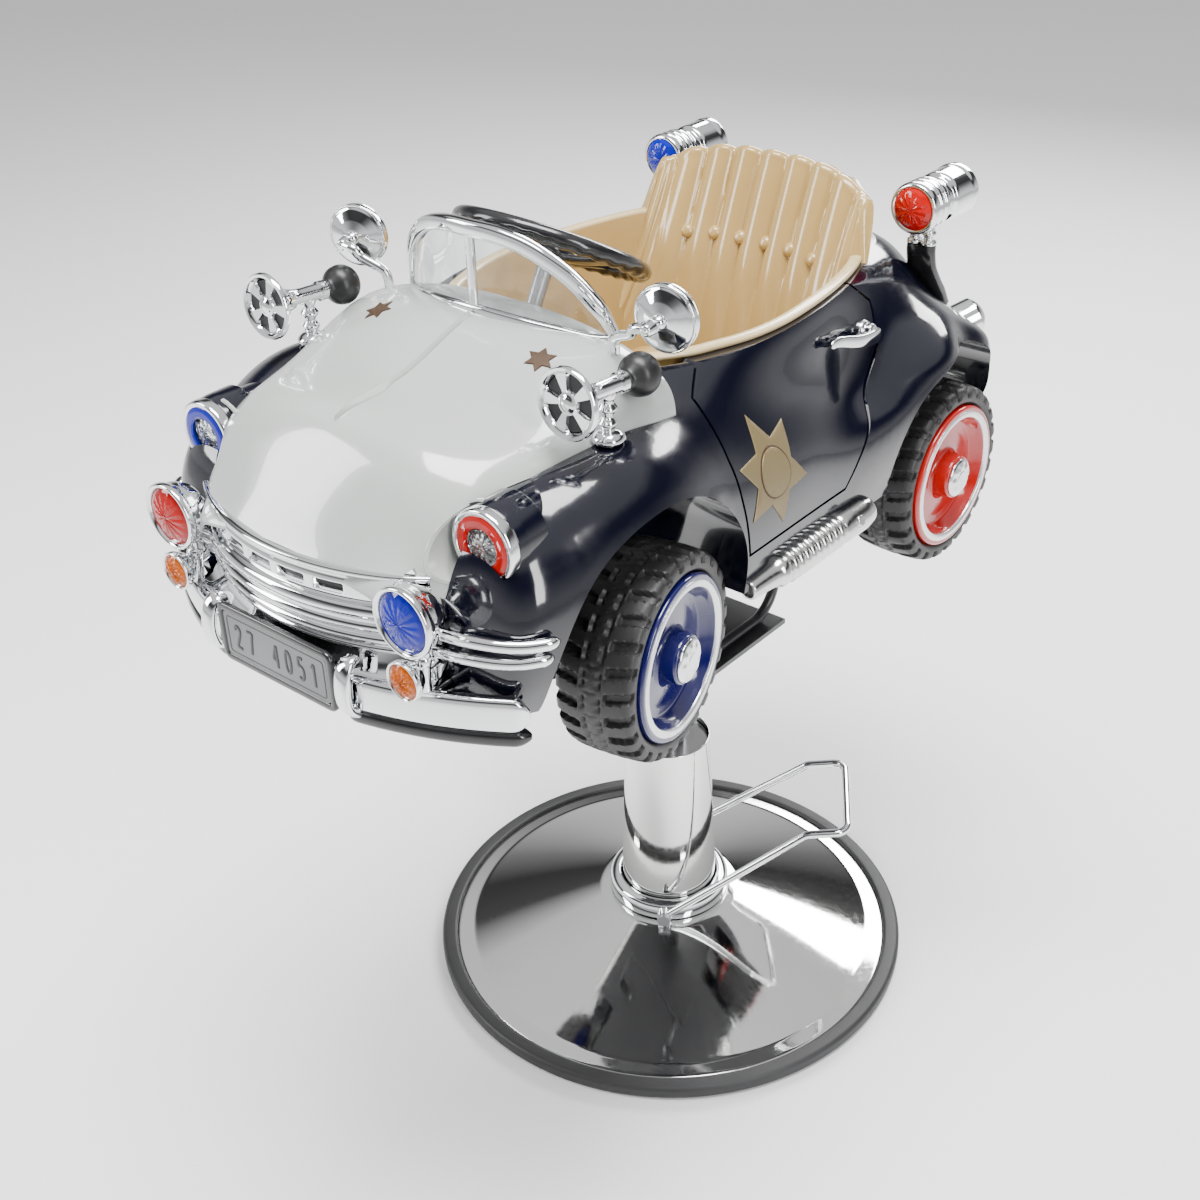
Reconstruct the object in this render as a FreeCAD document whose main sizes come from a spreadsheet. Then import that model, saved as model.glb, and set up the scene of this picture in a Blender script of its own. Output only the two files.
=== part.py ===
"""Barber chair for children: a small open car on a hydraulic salon base.

Frame: millimetres, +Z up, origin at the centre of the base's underside, the car's nose
towards -Y and the car's own left towards +X.  The chair is shown as in the reference: the
ram part way up and the front wheels steered a little to the car's left.
"""
import FreeCAD
import Part
import Sketcher
import math
import os

V = FreeCAD.Vector

# Driving dimensions, one group for each assembly
SIZES = {
    # general fits
    "fit_gap": 0.3,
    "running_gap": 0.05,
    "overrun": 5,
    # base
    "base_radius": 270,
    "base_thickness": 8,
    "rim_radius": 300,
    "rim_height": 18,
    "rim_ledge": 11,
    "rim_round": 8,
    "cover_radius": 279,
    "cover_gauge": 2.5,
    "cover_flat_radius": 257,
    "cover_flat_rise": 4,
    "cover_top_radius": 80,
    "cover_top_height": 76,
    # column
    "shroud_foot_radius": 61.4,
    "shroud_top_radius": 52,
    "shroud_top_height": 313,
    "shroud_gauge": 1.6,
    "collar_radius": 76,
    "collar_height": 23,
    "collar_chamfer": 6,
    "pump_radius": 38,
    "pump_head_radius": 49,
    "pump_head_thickness": 8,
    "pump_top_height": 306,
    "pump_foot_radius": 56,
    "pump_foot_thickness": 8,
    "pump_bore_floor": 14,
    "pump_bolt_circle_radius": 46,
    "pump_bolt_radius": 4,
    "pump_bolt_head_radius": 6.5,
    "pump_bolt_head_height": 5,
    # pedal
    "pedal_pivot_height": 88,
    "pedal_stud_radius": 4.5,
    "pedal_stud_depth": 9,
    "pedal_arm_offset": 82,
    "pedal_eye_radius": 9,
    "pedal_eye_width": 10,
    "pedal_nut_radius": 8,
    "pedal_nut_width": 6,
    "pedal_rod_radius": 5,
    "pedal_bend_reach": 174,
    "pedal_bend_height": 219,
    "pedal_end_reach": 222,
    "pedal_end_height": 225,
    "pedal_end_offset": 70,
    "pedal_corner_radius": 16,
    # ram and the plate that turns on it
    "ram_radius": 22,
    "ram_foot_height": 120,
    "plate_underside": 488,
    "plate_thickness": 6,
    "plate_half_width": 125,
    "plate_front_reach": 105,
    "plate_rear_reach": 62,
    "hub_radius": 34,
    "hub_length": 68,
    # rod frame under the car
    "hoop_rod_radius": 6,
    "hoop_offset": 105,
    "hoop_front_reach": 150,
    "hoop_rear_reach": 68,
    "hoop_bend_radius": 42,
    "hoop_foot_half_width": 22,
    "hoop_foot_thickness": 4,
    "frame_bolt_radius": 3,
    "frame_bolt_head_radius": 5,
    "frame_bolt_head_height": 4,
    "frame_bolt_spacing": 14,
    # car body
    "floor_height": 690,
    "floor_gauge": 6,
    "body_front": -491,
    "body_length": 876,
    "body_half_width": 258,
    "body_rise": 210,
    "body_gauge": 4,
    "arch_front_radius": 131,
    "arch_front_height": 710,
    "arch_rear_radius": 119,
    "arch_rear_height": 697,
    "arch_inner_offset": 136,
    "cockpit_front": -222,
    "cockpit_length": 460,
    "cockpit_half_width": 176,
    # hood
    "hood_front": -531,
    "hood_length": 301,
    "hood_half_width": 190,
    "hood_foot_height": 790,
    "hood_rise": 160,
    "hood_gauge": 3,
    "panel_gap": 0.6,
    # doors
    "door_gap": 3,
    "door_gauge": 8,
    "door_front": -200,
    "door_length": 305,
    "door_foot_height": 735,
    "door_rise": 165,
    # seat tub
    "tub_gauge": 4,
    "tub_clearance": 3,
    "tub_flange_width": 7,
    "tub_flange_thickness": 3.5,
    "tub_floor_height": 700,
    "tub_floor_share": 0.86,
    "seat_pan_height": 756,
    "seat_pan_front": 5,
    "back_height": 975,
    "back_gauge": 13,
    # axles and wheels
    "tyre_radius": 101,
    "tyre_half_width": 38.5,
    "tyre_shoulder_drop": 6,
    "tyre_groove_depth": 4,
    "tyre_groove_half_width": 3,
    "lug_slot_width": 7,
    "lug_slot_depth": 6,
    "lug_slot_length": 15,
    "rim_bore_radius": 80,
    "rim_wall": 4,
    "rim_dish_depth": 16,
    "rim_dish_gauge": 4,
    "rim_boss_radius": 26,
    "rim_boss_tip_radius": 23,
    "rim_boss_length": 19,
    "cap_radius": 21.5,
    "cap_rise": 6,
    "axle_radius": 6,
    "wheel_hub_radius": 13,
    "wheel_track_half": 216.5,
    "front_axle_y": -320,
    "front_axle_height": 681,
    "rear_axle_y": 188,
    "rear_axle_height": 666,
    "axle_ear_offset": 118,
    "axle_ear_thickness": 8,
    "axle_ear_half_width": 16,
    "kingpin_offset": 150,
    "kingpin_radius": 7,
    "kingpin_boss_radius": 13,
    "kingpin_boss_top": 738,
    "knuckle_block_height": 19,
    "knuckle_cheek_start": 17,
    "knuckle_cheek_thickness": 7,
    "knuckle_cheek_half_width": 11,
    "knuckle_cheek_top": 699,
    "knuckle_arm_length": 57,
    "knuckle_arm_half_width": 8,
    "knuckle_arm_thickness": 7,
    "tie_pin_radius": 3,
    "tie_slot_radius": 4.5,
    "tie_slot_length": 16,
    "tie_rod_thickness": 6,
    "tie_rod_half_width": 7,
    "wheel_rim_gap": 0.2,
    # steering
    "steering_centre_y": -170,
    "steering_centre_height": 980,
    "steering_ring_radius": 90,
    "steering_grip_radius": 8.5,
    "steering_hub_radius": 24,
    "steering_hub_depth": 18,
    "steering_spoke_half_width": 10,
    "steering_spoke_thickness": 7,
    "steering_shaft_radius": 8,
    "steering_shaft_length": 365,
    "crank_length": 29,
    "crank_ball_radius": 5,
    "fork_play": 0.5,
    "fork_wall": 4,
    "fork_half_depth": 6,
    "fork_height": 18,
    "fork_opening_half_width": 48,
    "fork_opening_half_length": 46,
    # windshield
    "screen_radius": 204.5,
    "screen_front": -284,
    "screen_half_width": 132,
    "screen_foot_height": 926,
    "screen_rise": 106,
    "screen_band": 11,
    "screen_depth": 10,
    "screen_divider_half_width": 5,
    "glass_gauge": 3,
    # nose
    "grille_arc_radius": 262,
    "grille_front": -548,
    "grille_half_angle": 33.5,
    "grille_top": 819,
    "grille_foot": 742,
    "grille_slot_height": 7,
    "grille_slot_angle": 5,
    "trim_bar_radius": 5,
    "trim_upper_height": 774,
    "trim_lower_height": 755,
    "bumper_arc_radius": 402,
    "bumper_front": -559,
    "bumper_blade_height": 30,
    "bumper_blade_depth": 14,
    "bumper_centre_height": 707,
    "bumper_inner_angle": 11.5,
    "bumper_outer_angle": 35.5,
    "bumper_lip_height": 13,
    "plate_sign_half_width": 69,
    "plate_sign_height": 47,
    "plate_sign_foot": 692,
    "plate_sign_front": -556,
    "plate_sign_gauge": 2,
    "plate_frame_border": 6,
    "plate_frame_depth": 7,
    # lamps
    "headlight_x": 172,
    "headlight_y": -450,
    "headlight_height": 840,
    "headlight_radius": 34,
    "headlight_bezel_width": 5,
    "headlight_bezel_depth": 16,
    "headlight_ring_width": 8,
    "headlight_ring_gauge": 3,
    "headlight_pod_length": 60,
    "spot_x": 151,
    "spot_y": -535,
    "spot_height": 798,
    "spot_radius": 32.5,
    "spot_lens_radius": 27,
    "spot_depth": 34,
    "spot_wall": 2.5,
    "lens_dome": 5,
    "lens_gauge": 3,
    "amber_x": 150,
    "amber_y": -541,
    "amber_height": 743,
    "amber_radius": 19,
    "amber_lens_radius": 16,
    "amber_depth": 14,
    "lamp_stem_radius": 6,
    # horns
    "horn_x": 188,
    "horn_front": -369,
    "horn_height": 938,
    "horn_disc_radius": 32,
    "horn_tilt": 4,
    "horn_tube_radius": 8,
    "horn_bell_length": 34,
    "horn_length": 72,
    "horn_base_y": -318,
    "horn_post_radius": 9,
    "horn_foot_radius": 15,
    "bulb_radius": 20,
    "bulb_neck_radius": 9,
    # mirrors
    "mirror_x": 191,
    "mirror_y": -251,
    "mirror_height": 971,
    "mirror_radius": 31,
    "mirror_depth": 17,
    "mirror_gauge": 2.5,
    "mirror_toe_left": 6,
    "mirror_toe_right": -18,
    "mirror_stem_radius": 5,
    "mirror_ball_radius": 7,
    "mirror_foot_x": 142,
    "mirror_foot_height": 925,
    "mirror_bend_height": 950,
    "mirror_foot_radius": 11,
    # beacons
    "beacon_x": 167,
    "beacon_front": 214,
    "beacon_height": 943,
    "beacon_radius": 28,
    "beacon_length": 98,
    "beacon_lens_radius": 22,
    "beacon_post_y": 238,
    "beacon_neck_radius": 7,
    "beacon_stalk_radius": 10,
    "beacon_stalk_top": 900,
    "beacon_foot_y": 274,
    # exhausts and tail
    "exhaust_x": 243,
    "exhaust_height": 692,
    "exhaust_front": -186,
    "exhaust_length": 212,
    "exhaust_radius": 15,
    "exhaust_rib_radius": 18.5,
    "exhaust_rib_pitch": 11,
    "tail_lamp_x": 181,
    "tail_lamp_y": 326,
    "tail_lamp_height": 787,
    "tail_lamp_radius": 22,
    "tail_lamp_depth": 16,
    # door handles
    "handle_y": 80,
    "handle_height": 854,
    "handle_length": 78,
    "handle_half_height": 7,
    "handle_stand_off": 12,
    # dashboard
    "dash_depth": 6,
    "dash_foot": 840,
    "dash_half_width": 150,
}
STEER_AT_REST = 10.2
PEDAL_HEADING = 33.8
STEERING_TILT = 60

# Outlines as shares: along the length from the nose, then (across, up) pairs for the widest
# point, the shoulder, the waist and the rim, the share across of the bottom and the top's share
BODY_SHARES = [
    (0.000, 0.56, (0.70, 0.27), (0.68, 0.44), (0.57, 0.52), (0.40, 0.54), 0.54),
    (0.012, 0.68, (0.83, 0.30), (0.80, 0.47), (0.66, 0.59), (0.47, 0.62), 0.62),
    (0.035, 0.78, (0.90, 0.33), (0.87, 0.56), (0.73, 0.74), (0.54, 0.72), 0.70),
    (0.070, 0.84, (0.94, 0.36), (0.89, 0.64), (0.70, 0.83), (0.54, 0.80), 0.78),
    (0.115, 0.88, (0.97, 0.38), (0.92, 0.71), (0.71, 0.89), (0.55, 0.86), 0.84),
    (0.180, 0.92, (0.985, 0.36), (0.96, 0.75), (0.77, 0.92), (0.60, 0.90), 0.88),
    (0.285, 0.93, (0.97, 0.28), (0.94, 0.66), (0.79, 0.87), (0.60, 0.985), 1.00),
    (0.330, 0.93, (0.96, 0.26), (0.925, 0.60), (0.80, 0.83), (0.62, 0.99), 1.00),
    (0.400, 0.93, (0.955, 0.24), (0.92, 0.57), (0.81, 0.78), (0.70, 0.99), 1.00),
    (0.480, 0.93, (0.95, 0.22), (0.92, 0.50), (0.815, 0.70), (0.735, 0.99), 1.00),
    (0.560, 0.93, (0.95, 0.22), (0.92, 0.42), (0.825, 0.56), (0.725, 0.99), 1.00),
    (0.630, 0.93, (0.96, 0.26), (0.935, 0.44), (0.84, 0.54), (0.695, 0.99), 1.00),
    (0.690, 0.93, (0.985, 0.34), (0.965, 0.58), (0.845, 0.70), (0.655, 0.98), 1.00),
    (0.755, 0.92, (1.00, 0.40), (0.975, 0.64), (0.81, 0.77), (0.60, 0.97), 1.00),
    (0.835, 0.88, (0.985, 0.36), (0.92, 0.58), (0.72, 0.73), (0.50, 0.95), 0.99),
    (0.915, 0.74, (0.86, 0.28), (0.78, 0.46), (0.60, 0.58), (0.38, 0.70), 0.76),
    (0.970, 0.60, (0.72, 0.20), (0.64, 0.34), (0.48, 0.44), (0.30, 0.51), 0.54),
    (1.000, 0.46, (0.56, 0.14), (0.50, 0.26), (0.38, 0.34), (0.22, 0.39), 0.41),
]
# Hood: along, the ridge's share up, then (across, up) pairs down to the foot
HOOD_SHARES = [
    (0.000, 0.16, (0.30, 0.14), (0.50, 0.10), (0.60, 0.06), 0.62),
    (0.035, 0.24, (0.32, 0.22), (0.54, 0.17), (0.66, 0.10), 0.69),
    (0.085, 0.37, (0.33, 0.34), (0.56, 0.27), (0.70, 0.16), 0.74),
    (0.155, 0.54, (0.36, 0.51), (0.62, 0.42), (0.77, 0.26), 0.81),
    (0.235, 0.70, (0.38, 0.67), (0.66, 0.57), (0.83, 0.38), 0.87),
    (0.435, 0.78, (0.42, 0.75), (0.72, 0.67), (0.88, 0.52), 0.91),
    (0.635, 0.87, (0.44, 0.84), (0.76, 0.75), (0.92, 0.62), 0.95),
    (0.825, 0.985, (0.46, 0.95), (0.80, 0.85), (0.96, 0.72), 0.99),
    (1.000, 0.97, (0.46, 0.94), (0.80, 0.84), (0.97, 0.72), 1.00),
]
# Cockpit plan: (along from the front, across) for the left half
COCKPIT_SHARES = [(0.00, 0.38), (0.03, 0.62), (0.13, 0.83), (0.20, 0.91), (0.30, 0.985), (0.43, 1.00),
                  (0.63, 0.93), (0.80, 0.80), (0.93, 0.57), (0.99, 0.30)]
# Door side view: (along from the front, up from the foot)
DOOR_SHARES = [(0.115, 1.00), (0.01, 0.88), (0.00, 0.60), (0.01, 0.37), (0.045, 0.00), (0.585, 0.00),
               (0.66, 0.13), (0.81, 0.37), (0.95, 0.64), (1.00, 0.87), (0.93, 1.00)]
# Windshield front view, right-hand half: (across, up)
SCREEN_SHARES = [(0.00, 1.00), (0.25, 0.985), (0.50, 0.90), (0.74, 0.68), (0.92, 0.35), (1.00, 0.03)]
SCREEN_FOOT_SHARES = [(0.70, 0.12), (0.35, 0.18), (0.00, 0.195)]
# Seat back: side view (along the cockpit, up the back) and front view (across, up)
BACK_SIDE_SHARES = [(0.74, 0.00), (0.76, 0.67), (0.80, 0.72), (0.85, 0.82), (0.91, 0.92),
                    (0.97, 0.985), (1.03, 1.00)]
BACK_FRONT_SHARES = [(0.92, 0.60), (0.88, 0.68), (0.80, 0.84), (0.66, 0.93), (0.36, 0.99), (0.00, 1.00)]


class Size:
    """A length that remembers the sheet expression it comes from."""

    def __init__(self, value, text):
        self.value = float(value)
        self.text = text

    def __float__(self):
        return self.value

    def join(self, sign, other, value, swap=False):
        words = other.text if isinstance(other, Size) else repr(other)
        pair = (words, self.text) if swap else (self.text, words)
        return Size(value, f"({pair[0]} {sign} {pair[1]})")

    def __add__(self, other):
        return self.join("+", other, self.value + float(other))

    __radd__ = __add__

    def __sub__(self, other):
        return self.join("-", other, self.value - float(other))

    def __mul__(self, other):
        return self.join("*", other, self.value * float(other))

    __rmul__ = __mul__

    def __truediv__(self, other):
        return self.join("/", other, self.value / float(other))

    def __neg__(self):
        return Size(-self.value, f"(0 - {self.text})")


doc = FreeCAD.newDocument("barber_car")
sheet = doc.addObject("Spreadsheet::Sheet", "sizes")
for row, (alias, value) in enumerate(SIZES.items(), 1):
    sheet.set(f"A{row}", alias)
    sheet.set(f"B{row}", str(value))
    sheet.setAlias(f"B{row}", alias)
doc.recompute()


def size(alias):
    return Size(sheet.get(alias), f"sizes.{alias}")


def mm(alias):
    return float(sheet.get(alias))


ZERO = 0
NODES = []


def keep(obj, label):
    """Names a finished sub-part and marks it for export."""
    obj.Label = label
    NODES.append(obj)
    return obj


def feature(label, shape):
    """A sub-part whose shape is worked out in code from the sheet's sizes."""
    return keep(shape_object(label, shape), label)


def shape_object(name, shape):
    obj = doc.addObject("Part::Feature", name)
    obj.Shape = shape
    return obj


# Sketch helpers


def new_body(name):
    return doc.addObject("PartDesign::Body", name + "_body")


def plane(body, role):
    return [f for f in body.Origin.OriginFeatures if f.Role == role][0]


def bind(sketch, index, number):
    if isinstance(number, Size):
        sketch.setExpression(f"Constraints[{index}]", number.text)


def place_point(sketch, geo, pos, x, y):
    """Fixes a sketch point by two distances from the origin."""
    for kind, number in (("DistanceX", x), ("DistanceY", y)):
        index = sketch.addConstraint(Sketcher.Constraint(kind, -1, 1, geo, pos, float(number)))
        bind(sketch, index, number)


def arc_through(a, b, radius):
    """The short arc from a to b; a positive radius bulges to the right of the way a to b."""
    start, end = V(*a, 0), V(*b, 0)
    chord = end - start
    half = chord.Length / 2
    reach = abs(radius)
    rise = reach - math.sqrt(max(reach * reach - half * half, 0))
    side = V(chord.y, -chord.x, 0).normalize() * math.copysign(rise, radius)
    return Part.Arc(start, (start + end) * 0.5 + side, end)


def outline(body, role, points, name="outline"):
    """A closed sketch of (x, y) corners; a third entry makes the next side an arc of that radius."""
    sketch = body.newObject("Sketcher::SketchObject", name)
    sketch.AttachmentSupport = [(plane(body, role), "")]
    sketch.MapMode = "FlatFace"
    count = len(points)
    flat = [(float(p[0]), float(p[1])) for p in points]
    ends = []
    for i, point in enumerate(points):
        a, b = flat[i], flat[(i + 1) % count]
        if len(point) == 3:
            arc = arc_through(a, b, float(point[2]))
            sketch.addGeometry(arc, False)
            turns_left = float(point[2]) > 0
            ends.append((1, 2) if turns_left else (2, 1))
        else:
            sketch.addGeometry(Part.LineSegment(V(*a, 0), V(*b, 0)), False)
            ends.append((1, 2))
    for i in range(count):
        after = (i + 1) % count
        sketch.addConstraint(Sketcher.Constraint("Coincident", i, ends[i][1], after, ends[after][0]))
        place_point(sketch, i, ends[i][0], points[i][0], points[i][1])
        if len(points[i]) == 3:
            radius = points[i][2]
            index = sketch.addConstraint(Sketcher.Constraint("Radius", i, abs(float(radius))))
            if isinstance(radius, Size):
                bind(sketch, index, radius if float(radius) > 0 else -radius)
    return sketch


def revolved(name, points, angle=360, middle=False, body=None):
    """A body turned about its own Z axis from a radius-height outline."""
    body = body or new_body(name)
    sketch = outline(body, "XZ_Plane", points)
    turn = body.newObject("PartDesign::Revolution", name + "_turn")
    turn.Profile = sketch
    turn.ReferenceAxis = (sketch, ["V_Axis"])
    turn.Angle = angle
    turn.Midplane = middle
    return body


def padded(name, role, points, length, middle=False, body=None):
    """A body extruded from an outline on one of its origin planes."""
    body = body or new_body(name)
    sketch = outline(body, role, points)
    pad = body.newObject("PartDesign::Pad", name + "_pad")
    pad.Profile = sketch
    pad.Length = float(length)
    if isinstance(length, Size):
        pad.setExpression("Length", length.text)
    pad.Midplane = middle
    return body


def put(obj, x=ZERO, y=ZERO, z=ZERO, axis=V(0, 0, 1), angle=0):
    """Places an object, with its position bound to the sheet."""
    obj.Placement = FreeCAD.Placement(V(float(x), float(y), float(z)), FreeCAD.Rotation(axis, angle))
    for word, number in (("x", x), ("y", y), ("z", z)):
        if isinstance(number, Size):
            obj.setExpression(f"Placement.Base.{word}", number.text)
    return obj


def mirrored(obj):
    twin = doc.addObject("Part::Mirroring", obj.Name + "_mirror")
    twin.Source = obj
    twin.Normal = V(1, 0, 0)
    return twin


def group(label, parts):
    pair = doc.addObject("Part::Compound", label)
    pair.Links = parts
    return keep(pair, label)


def both_sides(label, obj):
    """One node that holds a left piece and its mirror image."""
    return group(label, [obj, mirrored(obj)])


# Shape helpers


def box(x0, x1, y0, y1, z0, z1):
    return Part.makeBox(x1 - x0, y1 - y0, z1 - z0, V(x0, y0, z0))


def cylinder(radius, start, end):
    way = end - start
    return Part.makeCylinder(radius, way.Length, start, way)


def tube(points, radius, bend):
    """A round rod along straight runs joined by tangent arcs."""
    edges = []
    at = points[0]
    for before, corner, after in zip(points, points[1:], points[2:]):
        inward, outward = (corner - before).normalize(), (after - corner).normalize()
        turn = inward.getAngle(outward)
        cut = bend * math.tan(turn / 2)
        first, last = corner - inward * cut, corner + outward * cut
        middle = (outward - inward).normalize()
        apex = corner + middle * (bend / math.cos(turn / 2) - bend)
        edges.append(Part.LineSegment(at, first).toShape())
        edges.append(Part.Arc(first, apex, last).toShape())
        at = last
    edges.append(Part.LineSegment(at, points[-1]).toShape())
    path = Part.Wire(edges)
    ring = Part.Wire(Part.makeCircle(radius, points[0], points[1] - points[0]))
    return path.makePipeShell([ring], True, False)


def inset(points, distance):
    """Moves each corner of a closed flat outline inwards."""
    count = len(points)
    result = []
    for i in range(count):
        before, here, after = points[i - 1], points[i], points[(i + 1) % count]
        along = ((here[0] - before[0], here[1] - before[1]), (after[0] - here[0], after[1] - here[1]))
        normals = []
        for dx, dy in along:
            length = math.hypot(dx, dy)
            normals.append((-dy / length, dx / length))
        mean = (normals[0][0] + normals[1][0], normals[0][1] + normals[1][1])
        length = math.hypot(*mean)
        dot = (mean[0] * normals[0][0] + mean[1] * normals[0][1]) / length
        reach = distance / max(dot, 0.5)
        result.append((here[0] + mean[0] / length * reach, here[1] + mean[1] / length * reach))
    return result


def smooth(points, closed=False):
    curve = Part.BSplineCurve()
    curve.interpolate(points, PeriodicFlag=closed)
    return curve.toShape()


def section(half, y, gauge):
    """A closed section across the car: a flat foot and one smooth curve over the top."""
    around = [(x, z) for x, z in half] + [(-x, z) for x, z in reversed(half[:-1])]
    around = inset(around, gauge)
    points = [V(x, y, z) for x, z in around]
    foot = Part.LineSegment(points[-1], points[0]).toShape()
    return Part.Wire([smooth(points), foot])


def body_section(share, gauge, drop):
    along, foot, widest, shoulder, waist, rim, top = share
    wide, rise, low = mm("body_half_width"), mm("body_rise"), mm("floor_height")
    half = [(foot * wide, low - drop)]
    half += [(x * wide, low + z * rise) for x, z in (widest, shoulder, waist, rim)]
    half.append((0, low + top * rise))
    y = mm("body_front") + along * mm("body_length")
    return section(half, y, gauge)


def body_solid(gauge, drop, trim):
    """The outer form of the car, or the form inside a wall of the given gauge."""
    wires = [body_section(share, gauge, drop) for share in BODY_SHARES]
    solid = Part.makeLoft(wires, True, False)
    front = mm("body_front") + trim
    back = mm("body_front") + mm("body_length") - trim
    wide = mm("body_half_width") * 2
    return solid.common(box(-wide, wide, front, back, mm("floor_height") - drop, mm("back_height")))


def car_skin():
    """The car's outer form grown by the fitting gap, for cutting what lies against it."""
    return body_solid(-mm("fit_gap"), mm("overrun") * 2, 0)


def hood_section(share, gauge, drop):
    along, ridge, crown, side, edge, foot = share
    wide, rise, low = mm("hood_half_width"), mm("hood_rise"), mm("hood_foot_height")
    flank = ((foot * 2 + edge[0]) / 3, edge[1] / 3)
    half = [(foot * wide, low - drop)]
    half += [(x * wide, low + z * rise) for x, z in (flank, edge, side, crown)]
    half.append((0, low + ridge * rise))
    return section(half, mm("hood_front") + along * mm("hood_length"), gauge)


def hood_solid(gauge, drop):
    wires = [hood_section(share, gauge, drop) for share in HOOD_SHARES]
    return Part.makeLoft(wires, True, False)


def cockpit_wire(z, grow, share=1.0):
    """The cockpit's plan outline at a height, grown outwards or drawn in."""
    front, length, wide = mm("cockpit_front"), mm("cockpit_length"), mm("cockpit_half_width")
    centre = front + length / 2
    left = [(x * wide, front + y * length) for y, x in COCKPIT_SHARES]
    around = left + [(0, front + length)] + [(-x, y) for x, y in reversed(left)] + [(0, front)]
    around = inset(around, -grow)
    points = [V(x * share, centre + (y - centre) * share, z) for x, y in around]
    return Part.Wire([smooth(points, True)])


def cockpit_prism(low, high, grow):
    return Part.Face(cockpit_wire(low, grow)).extrude(V(0, 0, high - low))


def arch_prism(end, grow, side):
    """The space that a wheel turns in: a round top over straight flanks."""
    y = mm(end + "_axle_y")
    radius = mm(f"arch_{end}_radius") + grow
    inner = mm("arch_inner_offset") - grow
    outer = mm("body_half_width") + mm("overrun") * 4
    level, low = mm(f"arch_{end}_height"), mm("floor_height") - mm("overrun") * 2
    left, right = V(inner, y - radius, level), V(inner, y + radius, level)
    arc = Part.Arc(left, V(inner, y, level + radius), right).toShape()
    corners = [right, V(inner, y + radius, low), V(inner, y - radius, low), left]
    sides = [Part.LineSegment(a, b).toShape() for a, b in zip(corners, corners[1:])]
    solid = Part.Face(Part.Wire([arc] + sides)).extrude(V(outer - inner, 0, 0))
    return solid if side > 0 else solid.mirror(V(0, 0, 0), V(1, 0, 0))


def arches(grow):
    return [arch_prism(end, grow, side) for end in ("front", "rear") for side in (1, -1)]


def door_prism(side, grow):
    """The door's side view pushed through one side of the body."""
    front, length = mm("door_front"), mm("door_length")
    low, rise = mm("door_foot_height"), mm("door_rise")
    around = [(front + y * length, low + z * rise) for y, z in DOOR_SHARES]
    around = inset(around, -grow)
    corners = [V(0, y, z) for y, z in around]
    face = Part.Face(Part.makePolygon(corners + corners[:1]))
    inner, outer = mm("arch_inner_offset"), mm("body_half_width") + mm("overrun") * 2
    face.translate(V(inner, 0, 0))
    solid = face.extrude(V(outer - inner, 0, 0))
    return solid if side > 0 else solid.mirror(V(0, 0, 0), V(1, 0, 0))


def lamp_spaces():
    """Room for the two spot lamps' bowls in what stands behind them."""
    x, y, z = mm("spot_x"), mm("spot_y"), mm("spot_height")
    radius = mm("spot_radius") + mm("spot_wall") / 2
    rear = y + mm("spot_depth") + mm("fit_gap")
    return on_both(cylinder(radius, V(x, y - mm("overrun"), z), V(x, rear, z)))


def turned(edges):
    """A solid of revolution about Z from a closed profile, with its faces outwards."""
    solid = Part.Face(Part.Wire(edges)).revolve(V(0, 0, 0), V(0, 0, 1), 360)
    return solid if solid.Volume > 0 else solid.reversed()


def on_both(solid):
    return [solid, solid.mirror(V(0, 0, 0), V(1, 0, 0))]


# Base


def make_base():
    plate = revolved("base_plate", [
        (0, 0), (size("base_radius"), 0), (size("base_radius"), size("base_thickness")),
        (0, size("base_thickness"))])
    bolt_holes(plate, "base_plate", size("base_thickness"))
    keep(plate, "base_plate")

    rim, ledge, seat = size("rim_radius"), size("rim_ledge"), size("cover_radius")
    fit = size("fit_gap")
    round_radius = size("rim_round")
    rubber = revolved("rubber_rim", [
        (size("base_radius") + fit, 0), (rim, 0), (rim, size("rim_height") - round_radius, round_radius),
        (rim - round_radius, size("rim_height")), (seat + fit, size("rim_height")),
        (seat + fit, ledge), (size("base_radius") + fit, ledge)])
    keep(rubber, "rubber_rim")

    gauge = size("cover_gauge")
    flat, flat_top = size("cover_flat_radius"), size("rim_ledge") + size("cover_gauge") + size("cover_flat_rise")
    top_radius, top = size("cover_top_radius"), size("cover_top_height")
    hole = size("shroud_foot_radius")
    cover = revolved("base_cover", [
        (hole, top - gauge), (top_radius, top - gauge), (flat, flat_top - gauge), (seat, ledge),
        (seat, ledge + gauge), (flat, flat_top), (top_radius, top), (hole, top)])
    keep(cover, "base_cover")


def bolt_holes(body, name, depth):
    """Four holes on the pump's bolt circle, cut down through a plate."""
    sketch = body.newObject("Sketcher::SketchObject", name + "_hole")
    sketch.AttachmentSupport = [(plane(body, "XY_Plane"), "")]
    sketch.MapMode = "FlatFace"
    ring = size("pump_bolt_circle_radius")
    sketch.addGeometry(Part.Circle(V(float(ring), 0, 0), V(0, 0, 1), mm("pump_bolt_radius")), False)
    place_point(sketch, 0, 3, ring, 0)
    index = sketch.addConstraint(Sketcher.Constraint("Radius", 0, mm("pump_bolt_radius")))
    bind(sketch, index, size("pump_bolt_radius") + size("fit_gap"))
    cut = body.newObject("PartDesign::Pocket", name + "_pocket")
    cut.Profile = sketch
    cut.Type = "Length"
    cut.Reversed = True
    cut.setExpression("Length", depth.text)
    pattern = body.newObject("PartDesign::PolarPattern", name + "_pattern")
    pattern.Originals = [cut]
    pattern.Axis = (sketch, ["N_Axis"])
    pattern.Occurrences = 4
    body.Tip = pattern


def shroud_radius(height):
    """Outer radius of the tapered shroud at a height."""
    foot, top = mm("base_thickness"), mm("shroud_top_height")
    share = (height - foot) / (top - foot)
    return mm("shroud_foot_radius") + share * (mm("shroud_top_radius") - mm("shroud_foot_radius"))


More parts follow.
